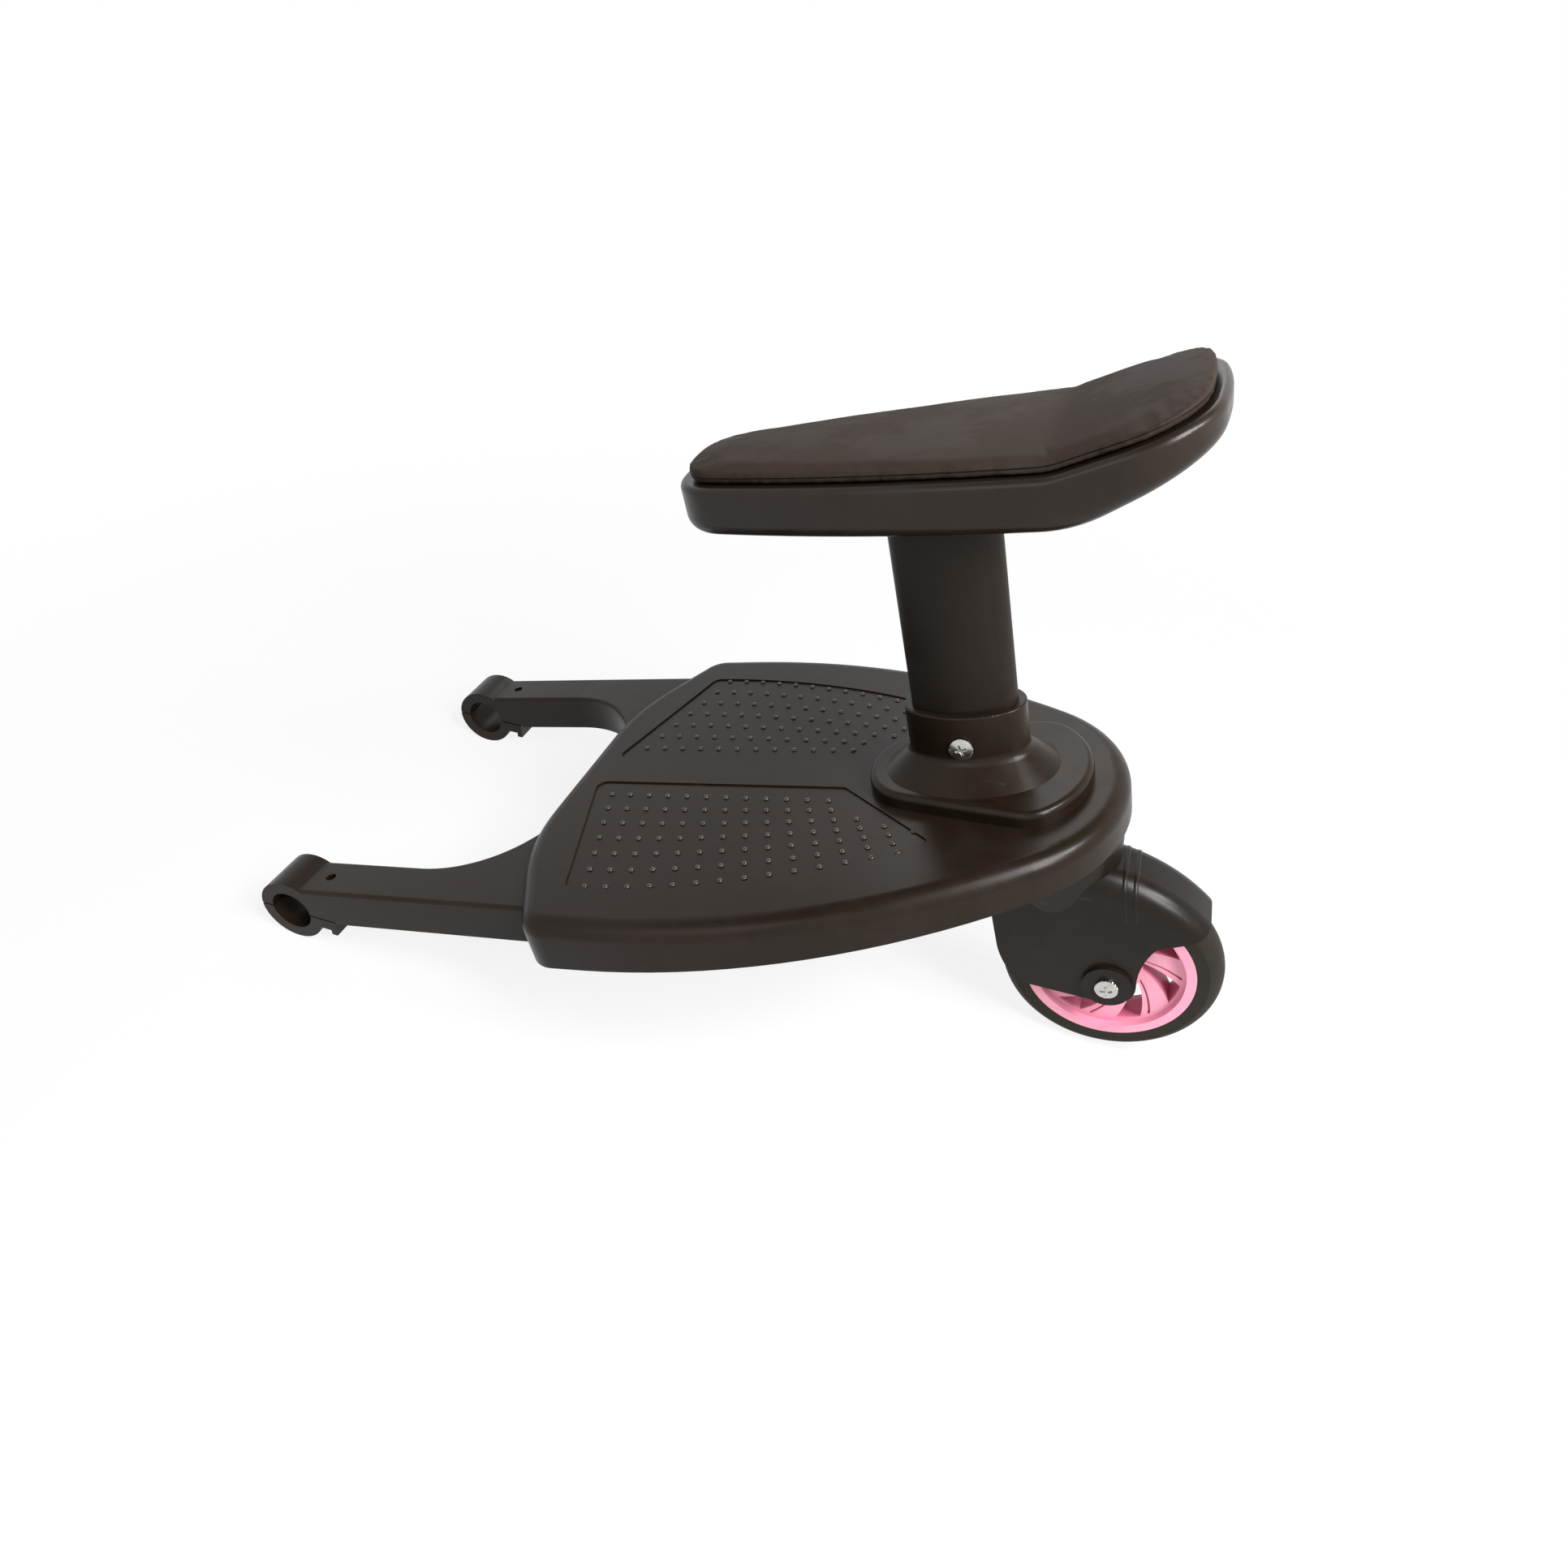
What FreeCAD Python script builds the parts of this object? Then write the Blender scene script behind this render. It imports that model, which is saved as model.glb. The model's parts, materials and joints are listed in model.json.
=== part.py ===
import FreeCAD
import Part
import Sketcher
import math
import operator
import os

# Buggy board: a standing deck with a bolted seat, two arms that clamp a pram's axle tube, and one caster.
# Every piece is drawn in the board's own frame: x forward from the swivel axis, y to the left,
# z up from the tops of the arms. One placement then stands the whole board on its wheel and clamps.

Vector = FreeCAD.Vector
doc = FreeCAD.newDocument("BuggyBoard")
sheet = doc.addObject("Spreadsheet::Sheet", "Sizes")

OPERATIONS = {"+": operator.add, "-": operator.sub, "*": operator.mul, "/": operator.truediv}


class Size(float):
    """A number that keeps the sheet expression it comes from."""

    def __new__(cls, value, text=None):
        made = float.__new__(cls, value)
        made.text = text or f"{float(value):.9g}"
        return made

    def __add__(self, other):
        return combine(self, "+", other)

    def __sub__(self, other):
        return combine(self, "-", other)

    def __mul__(self, other):
        return combine(self, "*", other)

    def __truediv__(self, other):
        return combine(self, "/", other)

    def __radd__(self, other):
        return combine(other, "+", self)

    def __rsub__(self, other):
        return combine(other, "-", self)

    def __rmul__(self, other):
        return combine(other, "*", self)

    def __neg__(self):
        return combine(0, "-", self)


def as_size(number):
    """A plain number as a Size."""
    return number if isinstance(number, Size) else Size(number)


def combine(left, sign, right):
    """Two numbers joined by a sign, in value and in expression."""
    left = as_size(left)
    right = as_size(right)
    value = OPERATIONS[sign](float(left), float(right))
    return Size(value, f"({left.text} {sign} {right.text})")


def root(number):
    """Square root."""
    return Size(math.sqrt(number), f"sqrt({number.text})")


def sine(degrees):
    """Sine of an angle in degrees."""
    return Size(math.sin(math.radians(degrees)), f"sin({degrees.text})")


def cosine(degrees):
    """Cosine of an angle in degrees."""
    return Size(math.cos(math.radians(degrees)), f"cos({degrees.text})")


def tangent(degrees):
    """Tangent of an angle in degrees."""
    return Size(math.tan(math.radians(degrees)), f"tan({degrees.text})")


size_names = []


def size(name, value, note):
    """Writes one driving dimension to the sheet and returns it."""
    size_names.append(name)
    row = len(size_names)
    sheet.set(f"A{row}", name)
    sheet.set(f"B{row}", str(value))
    sheet.setAlias(f"B{row}", name)
    sheet.set(f"C{row}", note)
    return Size(value, f"Sizes.{name}")


# Deck plate and skirt
deck_rise = size("deck_rise", 6, "deck top above the arm tops")
skirt_drop = size("skirt_drop", 28, "skirt bottom at the front edge, below the arm tops")
skirt_rear_drop = size("skirt_rear_drop", 17, "skirt bottom at the rear end, below the arm tops")
deck_floor = size("deck_floor", 4.5, "thickness of the standing plate")
deck_wall = size("deck_wall", 4, "thickness of the skirt")
deck_half_width = size("deck_half_width", 154, "half width at the widest place")
deck_wide_at = size("deck_wide_at", 238, "widest place, ahead of the swivel axis")
deck_rear = size("deck_rear", 45.4, "rear end, behind the swivel axis")
deck_nose = size("deck_nose", 71, "front edge ahead of the widest place")
deck_front = deck_wide_at + deck_nose
deck_rear_radius = size("deck_rear_radius", 96.1, "curve across the rear end")
deck_run = deck_wide_at + deck_rear
deck_side_sum = deck_run * (deck_run - 2 * deck_rear_radius) + deck_half_width * deck_half_width
deck_side_radius = deck_side_sum / (2 * (deck_half_width - deck_rear_radius))
deck_front_half = size("deck_front_half", 45, "half length of the straight front edge")
deck_front_radius = size("deck_front_radius", 140, "curve from the front edge to the arms")
deck_front_turn = size("deck_front_turn", 27, "degrees that the front curve turns")
deck_corner_radius = size("deck_corner_radius", 20, "front outer corners")
deck_rim_radius = size("deck_rim_radius", 10, "rounding of the top rim")
rib_thickness = size("rib_thickness", 3, "ribs under the plate")
rib_clear = size("rib_clear", 13, "rib bottoms above the skirt bottom at the front")
rib_inset = size("rib_inset", 14, "rib ends inside the outline")
long_rib_y = size("long_rib_y", 62, "long ribs from the middle")
long_rib_rear = size("long_rib_rear", 60, "rear ends of the long ribs")
cross_rib_first = size("cross_rib_first", 120, "rearmost cross rib")
cross_rib_pitch = (deck_wide_at - cross_rib_first) / 2

# Dotted standing panels, one on each side of a plain middle band
panel_depth = size("panel_depth", 1, "recess of the panels")
panel_inner = size("panel_inner", 14, "inner edge from the middle")
panel_front_margin = size("panel_front_margin", 20, "front inner corner behind the front edge")
panel_front = deck_front - panel_front_margin
panel_rear = size("panel_rear", 118, "rear inner corner")
panel_outer_setback = size("panel_outer_setback", 52, "front outer corner behind the front edge")
panel_outer_front_x = deck_front - panel_outer_setback
panel_side_margin = size("panel_side_margin", 33, "front outer corner inside the deck's side")
panel_outer_front_y = deck_half_width - panel_side_margin
panel_outer_rear_x = size("panel_outer_rear_x", 52, "rear outer corner, forward")
panel_outer_rear_y = size("panel_outer_rear_y", 66, "rear outer corner, sideways")
panel_outer_radius = size("panel_outer_radius", 420, "curve of the outer edge")
panel_corner = size("panel_corner", 6, "panel corner rounding")

# Arms
arm_step = size("arm_step", 19, "outer faces inside the deck's sides")
arm_width = size("arm_width", 31, "width of an arm and its clamp")
arm_outer = deck_half_width - arm_step
arm_inner = arm_outer - arm_width
arm_depth = size("arm_depth", 26, "height of an arm")
arm_bury = size("arm_bury", 47, "length of an arm inside the deck")
arm_root = deck_front - arm_bury
arm_edge = size("arm_edge", 2.5, "rounding of the arm's long edges")
flare_radius = size("flare_radius", 70, "inner curve from arm to deck")
flare_length = size("flare_length", 63, "length of that curve ahead of the deck")
flare_start = deck_front + flare_length
channel_wall = size("channel_wall", 4, "walls of the channel under an arm")
channel_end = size("channel_end", 42, "front end of the channel behind the tube axis")
channel_setback = size("channel_setback", 16, "rear end of the channel ahead of the deck")
channel_rear = deck_front + channel_setback

# Clamps for the pram's axle tube
bore_x = size("bore_x", 462, "tube axis ahead of the swivel axis")
channel_front = bore_x - channel_end
bore_drop = size("bore_drop", 17, "tube axis below the arm tops")
bore_radius = size("bore_radius", 14, "tube radius")
head_radius = size("head_radius", 22, "outside of the clamp")
split_tilt = size("split_tilt", 14, "degrees that the split rises to the front")
split_gap = size("split_gap", 1, "gap between the clamp halves")
screw_front = size("screw_front", 17.9, "front screw from the tube axis")
screw_rear = size("screw_rear", 24, "rear screw from the tube axis")
lug_reach = size("lug_reach", 32, "rear end of the cap from the tube axis")
lug_depth = size("lug_depth", 8, "thickness of the cap's rear lug")
lug_lip = size("lug_lip", 3.5, "lip behind the rear screw head")
lug_lip_length = size("lug_lip_length", 4, "length of that lip")
screw_front_seat = size("screw_front_seat", 10, "front screw head below the split")
clamp_screw_radius = size("clamp_screw_radius", 1.75, "clamp screw shank")
clamp_head_radius = size("clamp_head_radius", 3.5, "clamp screw head")
clamp_head_height = size("clamp_head_height", 2.6, "clamp screw head height")
clamp_nut_flats = size("clamp_nut_flats", 6, "across the flats of a clamp nut")
clamp_nut_height = size("clamp_nut_height", 2.8, "clamp nut height")
clamp_nut_seat = size("clamp_nut_seat", 4, "clamp nuts above the split")

# Pedestal with the collar that holds the post
pedestal_front_x = size("pedestal_front_x", 70, "centres of the front corners, forward")
pedestal_front_y = size("pedestal_front_y", 3, "centres of the front corners, sideways")
pedestal_front_corner = size("pedestal_front_corner", 33, "front corners")
pedestal_front_radius = size("pedestal_front_radius", 45, "front curve")
pedestal_side_radius = size("pedestal_side_radius", 1200, "side curves")
pedestal_corner_x = size("pedestal_corner_x", 7, "centres of the rear corners, forward")
pedestal_corner_y = size("pedestal_corner_y", 28, "centres of the rear corners, sideways")
pedestal_corner_radius = size("pedestal_corner_radius", 21, "rear corners")
pedestal_rear_radius = size("pedestal_rear_radius", 60, "rear curve")
pedestal_height = size("pedestal_height", 9.5, "height of the rim")
pedestal_edge = size("pedestal_edge", 4, "rounding of the rim")
pedestal_floor = size("pedestal_floor", 5, "wall under the post")
flare_height = size("flare_height", 23, "foot of the collar above the deck")
flare_grow = size("flare_grow", 17, "spread of the collar's foot")
collar_wall = size("collar_wall", 4.4, "wall of the collar")
collar_height = size("collar_height", 52, "top of the collar above the deck")
collar_foot_radius = size("collar_foot_radius", 7, "rounding at the collar's foot")
collar_lip = size("collar_lip", 1.2, "rounding at the collar's mouth")

# Post
post_x = size("post_x", 42.5, "post ahead of the swivel axis")
post_half_length = size("post_half_length", 30, "half length of the oval")
post_half_depth = size("post_half_depth", 16, "half depth of the oval")
post_end_radius = size("post_end_radius", 11, "ends of the oval")
post_wall = size("post_wall", 3, "wall of the post")
post_head = size("post_head", 14, "solid top of the post")
post_fit = size("post_fit", 0.15, "play between post and sockets")
post_bolt_height = size("post_bolt_height", 32.5, "bolt above the deck")
post_bolt_radius = size("post_bolt_radius", 3, "bolt shank")
post_bolt_head_radius = size("post_bolt_head_radius", 6.8, "bolt head")
post_bolt_head_height = size("post_bolt_head_height", 3.6, "bolt head height")
post_nut_flats = size("post_nut_flats", 10, "across the flats of the nut")
post_nut_height = size("post_nut_height", 5, "nut height")
post_washer_radius = size("post_washer_radius", 6.2, "washer under the nut")
post_washer_height = size("post_washer_height", 1.4, "washer thickness")
spot_depth = size("spot_depth", 0.8, "depth of the flats under bolt head and washer")
bolt_play = size("bolt_play", 0.1, "play of bolts in their holes")
thread_end = size("thread_end", 1.5, "bolt end past its nut")

# Seat pan and pad
seat_bottom = size("seat_bottom", 175.8, "pan bottom above the arm tops")
pan_height = size("pan_height", 26.5, "height of the pan's skirt")
pan_floor = size("pan_floor", 4, "plate of the pan")
pan_wall = size("pan_wall", 10, "skirt and turned-in lip of the pan")
pan_front_x = size("pan_front_x", 146, "centres of the front corners, forward")
pan_front_y = size("pan_front_y", 8.5, "centres of the front corners, sideways")
pan_front_corner = size("pan_front_corner", 30, "front corners")
pan_front_radius = size("pan_front_radius", 90, "front curve")
pan_side_radius = size("pan_side_radius", 900, "long side curves")
pan_corner_x = size("pan_corner_x", -52, "centres of the rear corners, forward")
pan_corner_y = size("pan_corner_y", 22, "centres of the rear corners, sideways")
pan_corner_radius = size("pan_corner_radius", 40, "rear corners")
pan_rear_radius = size("pan_rear_radius", 200, "rear curve")
pan_bottom_edge = size("pan_bottom_edge", 9, "rounding under the pan")
pan_top_edge = size("pan_top_edge", 3.5, "rounding of the pan's top edge")
kick_x = size("kick_x", -14, "where the rear starts to turn up")
kick_radius = size("kick_radius", 70, "curve of the turned-up rear, at the bottom")
kick_angle = size("kick_angle", 25, "degrees that the rear turns up at the bottom")
kick_top_angle = size("kick_top_angle", 14.5, "degrees that the rear turns up at the top")
pad_inset = size("pad_inset", 6.5, "pad edge inside the pan")
pad_edge = size("pad_edge", 4.5, "pad height at its edge")
pad_crown = size("pad_crown", 3.5, "extra pad height in the middle")
pad_round = size("pad_round", 1.9, "drawn-in sides of the pad")
pad_gap = size("pad_gap", 0.3, "pad above the pan")

# Wood screws under the deck and under the pad
wood_screw_radius = size("wood_screw_radius", 2, "screw shank")
wood_screw_head_radius = size("wood_screw_head_radius", 3.8, "screw head")
wood_screw_head_height = size("wood_screw_head_height", 2.2, "screw head height")
pedestal_screw_length = size("pedestal_screw_length", 10, "pedestal screws under the head")
pedestal_screw_front = size("pedestal_screw_front", 86, "front pedestal screws, forward")
pedestal_screw_front_y = size("pedestal_screw_front_y", 16, "front pedestal screws, sideways")
pedestal_screw_rear = size("pedestal_screw_rear", 14, "rear pedestal screws, forward")
pedestal_screw_rear_y = size("pedestal_screw_rear_y", 34, "rear pedestal screws, sideways")
seat_screw_length = size("seat_screw_length", 13, "seat screws under the head")
seat_screw_x = size("seat_screw_x", 16, "seat screws from the post's middle, forward")
seat_screw_y = size("seat_screw_y", 6.5, "seat screws from the post's middle, sideways")

# Swivel
swivel_boss_radius = size("swivel_boss_radius", 22, "boss under the deck")
swivel_boss_drop = size("swivel_boss_drop", 20, "bottom of that boss below the arm tops")
stem_radius = size("stem_radius", 6, "swivel stem")
stem_play = size("stem_play", 0.06, "running play of the stem")
bush_wall = size("bush_wall", 3, "wall of the bushes")
bush_length = size("bush_length", 6.5, "bushes without their flanges")
bush_flange_radius = size("bush_flange_radius", 14, "flanges of the bushes")
bush_flange = size("bush_flange", 2, "flange thickness")
swivel_play = size("swivel_play", 0.2, "end play of the swivel")
nut_well_radius = size("nut_well_radius", 15, "well for the stem nut in the deck top")
nut_well_depth = size("nut_well_depth", 12, "depth of that well")
stem_nut_flats = size("stem_nut_flats", 18, "across the flats of the stem nut")
stem_nut_height = size("stem_nut_height", 5.5, "stem nut height")
stem_washer_radius = size("stem_washer_radius", 12, "stem washer")
stem_washer_height = size("stem_washer_height", 1.5, "stem washer thickness")
stem_end = size("stem_end", 0.8, "stem end past its nut")
stem_head_radius = size("stem_head_radius", 11, "stem head inside the fork")
stem_head_height = size("stem_head_height", 6, "stem head height")
stem_grip = size("stem_grip", 18, "fork crown between stem head and deck")

# Caster fork
axle_trail = size("axle_trail", 30, "axle behind the swivel axis")
axle_drop = size("axle_drop", 130, "axle below the arm tops")
fork_half_width = size("fork_half_width", 23, "outer faces of the fork from the middle")
fork_gap_half = size("fork_gap_half", 17, "inner faces of the fork from the middle")
crown_half_length = size("crown_half_length", 41, "round crown, half length")
crown_half_width = size("crown_half_width", 31, "round crown, half width")
crown_height = size("crown_height", 13, "straight part of the crown")
crown_end_radius = size("crown_end_radius", 26, "front and rear curves of the crown")
crown_blend = size("crown_blend", 40, "blend from crown to cheeks")
crown_blend_length = size("crown_blend_length", 36, "half length at the foot of the blend")
crown_blend_radius = size("crown_blend_radius", 19, "front and rear curves at the foot of the blend")
fork_front = size("fork_front", 38, "front edge, ahead of the swivel axis")
fork_front_low = size("fork_front_low", 35, "front edge at its lower bend")
fork_bend_drop = size("fork_bend_drop", 105, "lower bend below the arm tops")
fork_toe_x = size("fork_toe_x", 24, "front toe, forward")
fork_toe_drop = size("fork_toe_drop", 134, "front toe below the arm tops")
fork_toe_radius = size("fork_toe_radius", 60, "curve of the front toe")
dropout_radius = size("dropout_radius", 17, "cheek round the axle")
guard_centre_drop = size("guard_centre_drop", 152.8, "centre of the mudguard's back, below the arm tops")
guard_radius = size("guard_radius", 110, "back of the mudguard")
guard_tip_x = size("guard_tip_x", 90.5, "tail, behind the swivel axis")
guard_tip_drop = size("guard_tip_drop", 86, "tail below the arm tops")
guard_hem_x = size("guard_hem_x", 80, "hem end, behind the swivel axis")
guard_hem_drop = size("guard_hem_drop", 92.5, "hem end below the arm tops")
guard_tip_radius = size("guard_tip_radius", 16, "tail rounding")
guard_neck_x = size("guard_neck_x", 59, "hem meets the cheek, behind the swivel axis")
guard_neck_drop = size("guard_neck_drop", 99.5, "hem meets the cheek, below the arm tops")
guard_neck_radius = size("guard_neck_radius", 55, "rear curve of the cheek")
guard_edge = size("guard_edge", 14, "rounding of the mudguard's back")
guard_wall = size("guard_wall", 5, "wall along the mudguard's rounding")
tyre_clear = size("tyre_clear", 3, "fork clear of the tyre")
axle_boss_radius = size("axle_boss_radius", 15, "round boss at the axle")
axle_boss_height = size("axle_boss_height", 3, "height of that boss")

# Wheel
tyre_radius = size("tyre_radius", 67, "wheel radius")
tyre_half_width = size("tyre_half_width", 13.5, "half width of the tyre")
tyre_shoulder = size("tyre_shoulder", 8, "drop from the tread to its shoulders")
rim_radius = size("rim_radius", 51.5, "outside of the hub")
rim_half_width = size("rim_half_width", 13.5, "half width of the rim")
rim_wall = size("rim_wall", 6, "thickness of the rim")
bead_depth = size("bead_depth", 2.4, "rib of the tyre in the rim")
bead_half_width = size("bead_half_width", 4, "half width of that rib")
web_half = size("web_half", 9, "half thickness of the spoked web")
hub_boss_radius = size("hub_boss_radius", 15, "middle of the hub")
hub_boss_half = size("hub_boss_half", 14.5, "half length of the hub's middle")
window_inner = size("window_inner", 20, "inner ends of the windows")
window_outer = size("window_outer", 43, "outer ends of the windows")
window_inner_angle = size("window_inner_angle", 22, "degrees of a window at its inner end")
window_outer_angle = size("window_outer_angle", 22, "degrees of a window at its outer end")
swirl_angle = size("swirl_angle", 35, "degrees that a spoke sweeps round")
swirl_radius = size("swirl_radius", 60, "curve of the spokes")
spoke_count = size("spoke_count", 7, "spokes")
window_phase = size("window_phase", 4.7, "degrees from forward to the first window")
groove_offset = size("groove_offset", 9, "degrees from a window back to its groove")
groove_inner_angle = size("groove_inner_angle", 4.5, "degrees of a groove at its inner end")
groove_outer_angle = size("groove_outer_angle", 2.4, "degrees of a groove at its outer end")
groove_depth = size("groove_depth", 2, "depth of the grooves in the spokes")

# Bearings and axle
axle_radius = size("axle_radius", 4, "axle bolt")
axle_head_radius = size("axle_head_radius", 7, "axle bolt head")
axle_head_height = size("axle_head_height", 4.4, "axle bolt head height")
axle_nut_flats = size("axle_nut_flats", 13, "across the flats of the axle nut")
axle_nut_height = size("axle_nut_height", 6.5, "axle nut height")
axle_play = size("axle_play", 0.05, "play on the axle")
bearing_radius = size("bearing_radius", 11, "outside of a bearing")
bearing_width = size("bearing_width", 7, "width of a bearing")
outer_ring = size("outer_ring", 2, "outer ring thickness")
inner_ring = size("inner_ring", 2, "inner ring thickness")
shield_thickness = size("shield_thickness", 0.8, "bearing shields")
shield_gap = size("shield_gap", 0.4, "shields clear of the inner ring")
sleeve_wall = size("sleeve_wall", 1.6, "wall of the spacer sleeve")

doc.recompute()

deck_top = deck_rise
deck_under = deck_rise - deck_floor
bore_z = -bore_drop
axle_x = -axle_trail
axle_z = -axle_drop
crown_top = -swivel_boss_drop - bush_flange - swivel_play
pan_top = seat_bottom + pan_height
pan_under = pan_top - pan_floor
post_bottom = deck_top + pedestal_floor
bolt_z = deck_top + post_bolt_height
collar_top = deck_top + collar_height
SIDES = {"left": 1, "right": -1}
UPRIGHT = FreeCAD.Rotation(Vector(1, 0, 0), 90)
TURNED = FreeCAD.Rotation(Vector(1, 0, 0), 180)


def standing_placement():
    """Turns the level board nose down until the tyre and both clamps touch the floor."""
    run = bore_x - axle_x
    climb = bore_z - axle_z
    lean = math.atan2(climb, run) + math.asin((tyre_radius - head_radius) / math.hypot(run, climb))
    turn = FreeCAD.Rotation(Vector(0, 1, 0), math.degrees(lean))
    axle = turn.multVec(Vector(axle_x, 0, axle_z))
    bore = turn.multVec(Vector(bore_x, 0, bore_z))
    middle = (bore.x + head_radius + axle.x - tyre_radius) / 2
    return FreeCAD.Placement(Vector(-middle, 0, tyre_radius - axle.z), turn)


STANDING = standing_placement()
AT_AXLE = FreeCAD.Placement(Vector(axle_x, 0, axle_z), FreeCAD.Rotation())
sub_parts = []


def keep(item, label, local=None):
    """Names a finished sub-part and stands it with the rest of the board."""
    item.Label = label
    item.Placement = STANDING.multiply(local) if local else STANDING
    sub_parts.append(item)
    return item


def new_body(name):
    """An empty body."""
    return doc.addObject("PartDesign::Body", name)


def sketch_on(body, name, role, height=0, local=None):
    """A sketch on one of the body's own planes, lifted along that plane's normal or placed on it."""
    sketch = body.newObject("Sketcher::SketchObject", name)
    plane = [item for item in body.Origin.OriginFeatures if item.Role == role][0]
    sketch.AttachmentSupport = [(plane, "")]
    sketch.MapMode = "FlatFace"
    if local:
        sketch.AttachmentOffset = local
    else:
        sketch.setExpression("AttachmentOffset.Base.z", as_size(height).text)
    return sketch


def hold(sketch, kind, target, amount):
    """Adds one dimension to a sketch and ties it to the sheet."""
    amount = as_size(amount)
    index = sketch.addConstraint(Sketcher.Constraint(kind, *target, float(amount)))
    sketch.setExpression(f"Constraints[{index}]", amount.text)


def hold_point(sketch, edge, end, x, y):
    """Dimensions one point of a sketch from the sketch's origin."""
    for kind, axis, amount in (("DistanceX", -2, x), ("DistanceY", -1, y)):
        if abs(amount) < 1e-9:
            sketch.addConstraint(Sketcher.Constraint("PointOnObject", edge, end, axis))
        else:
            hold(sketch, kind, (edge, end), amount)


def add_edge(sketch, corner, following):
    """Draws the edge that leaves a corner: a line, or an arc if the corner gives a radius."""
    start = Vector(corner[0], corner[1], 0)
    finish = Vector(following[0], following[1], 0)
    if len(corner) == 2:
        return sketch.addGeometry(Part.LineSegment(start, finish)), 1, 2
    radius = abs(corner[2])
    chord = finish - start
    rise = math.sqrt(radius ** 2 - (chord.Length / 2) ** 2)
    across = Vector(-chord.y, chord.x, 0).normalize() * math.copysign(rise, corner[2])
    centre = (start + finish) / 2 + across
    angles = [math.atan2(point.y - centre.y, point.x - centre.x) for point in (start, finish)]
    first, last = (1, 2) if corner[2] > 0 else (2, 1)
    if corner[2] < 0:
        angles.reverse()
    circle = Part.Circle(centre, Vector(0, 0, 1), radius)
    return sketch.addGeometry(Part.ArcOfCircle(circle, *angles)), first, last


def outline(sketch, corners):
    """Draws a closed outline. A corner is x, y and, where an arc leaves it, a radius:
    positive where the arc turns anticlockwise."""
    edges = [add_edge(sketch, corner, corners[(index + 1) % len(corners)])
             for index, corner in enumerate(corners)]
    for index, corner in enumerate(corners):
        edge, first, last = edges[index]
        before = edges[index - 1]
        sketch.addConstraint(Sketcher.Constraint("Coincident", before[0], before[2], edge, first))
        hold_point(sketch, edge, first, corner[0], corner[1])
        if len(corner) == 3:
            reach = corner[2] if corner[2] > 0 else -corner[2]
            hold(sketch, "Radius", (edge,), reach)


def circle(sketch, x, y, radius):
    """Draws a circle."""
    made = Part.Circle(Vector(x, y, 0), Vector(0, 0, 1), radius)
    edge = sketch.addGeometry(made)
    hold_point(sketch, edge, 3, x, y)
    hold(sketch, "Radius", (edge,), radius)


def hexagon(sketch, x, y, flats):
    """Draws a hexagon of a given width across its flats."""
    half = flats / 2
    reach = half / cosine(Size(30))
    outline(sketch, [(x, y - reach), (x + half, y - reach / 2), (x + half, y + reach / 2),
                     (x, y + reach), (x - half, y + reach / 2), (x - half, y - reach / 2)])


def mirrored(corners):
    """The same outline on the other side of the board."""
    flipped = []
    for corner in corners:
        flipped.append((corner[0], -corner[1]) + tuple(-radius for radius in corner[2:]))
    return flipped


def on_side(corners, side):
    """An outline for the left side, or mirrored for the right."""
    return corners if side > 0 else mirrored(corners)


def pad(body, name, sketch, length, reverse=False, both=False):
    """Raises a sketch into a solid."""
    feature = body.newObject("PartDesign::Pad", name)
    feature.Profile = sketch
    feature.setExpression("Length", as_size(length).text)
    feature.Reversed = reverse
    feature.SideType = "Symmetric" if both else "One side"
    return feature


def pocket(body, name, sketch, length=None, reverse=False, both=False):
    """Cuts a sketch into the body, to a depth or right through, and checks that it cut."""
    doc.recompute()
    volume = body.Shape.Volume
    feature = body.newObject("PartDesign::Pocket", name)
    feature.Profile = sketch
    feature.Type = "Length" if length else "ThroughAll"
    if length:
        feature.setExpression("Length", as_size(length).text)
    feature.Reversed = reverse
    feature.SideType = "Symmetric" if both else "One side"
    doc.recompute()
    if not body.Shape.Volume < volume:
        raise RuntimeError(f"{body.Name}: {name} cuts nothing")
    return feature


def cut_body(body, name, tool, kind="Cut"):
    """Cuts one body out of another, or keeps only what they share."""
    doc.recompute()
    volume = body.Shape.Volume
    feature = body.newObject("PartDesign::Boolean", name)
    feature.Type = kind
    feature.Group = [tool]
    doc.recompute()
    if not body.Shape.Volume < volume:
        raise RuntimeError(f"{body.Name}: {name} cuts nothing")
    return feature


def revolve(body, name, corners):
    """Turns an outline of radius and height once round the body's upright sketch axis."""
    sketch = sketch_on(body, f"{name}Outline", "XY_Plane")
    outline(sketch, corners)
    feature = body.newObject("PartDesign::Revolution", name)
    feature.Profile = sketch
    feature.ReferenceAxis = (sketch, ["V_Axis"])
    feature.Angle = 360
    return feature


def fillet(body, name, radius, wanted):
    """Rounds the edges of the body's tip that a test picks."""
    doc.recompute()
    base = body.Tip
    names = [f"Edge{index + 1}" for index, edge in enumerate(base.Shape.Edges) if wanted(edge)]
    if not names:
        raise RuntimeError(f"{body.Name}: {name} finds no edge")
    feature = body.newObject("PartDesign::Fillet", name)
    feature.Base = (base, names)
    feature.setExpression("Radius", as_size(radius).text)
    doc.recompute()
    return feature


def level(edge, height):
    """True for an edge that lies at one height."""
    box = edge.BoundBox
    return abs(box.ZMin - height) < 1e-4 and abs(box.ZMax - height) < 1e-4


def upright(edge):
    """True for an edge that runs straight up."""
    box = edge.BoundBox
    return box.XLength < 1e-4 and box.YLength < 1e-4


def group(name, label, master, places):
    """One node of equal separate solids."""
    doc.recompute()
    copies = []
    for place in places:
        copy = master.Shape.copy()
        copy.Placement = place
        copies.append(copy)
    item = doc.addObject("Part::Feature", name)
    item.Shape = Part.makeCompound(copies)
    return keep(item, label)


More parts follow.
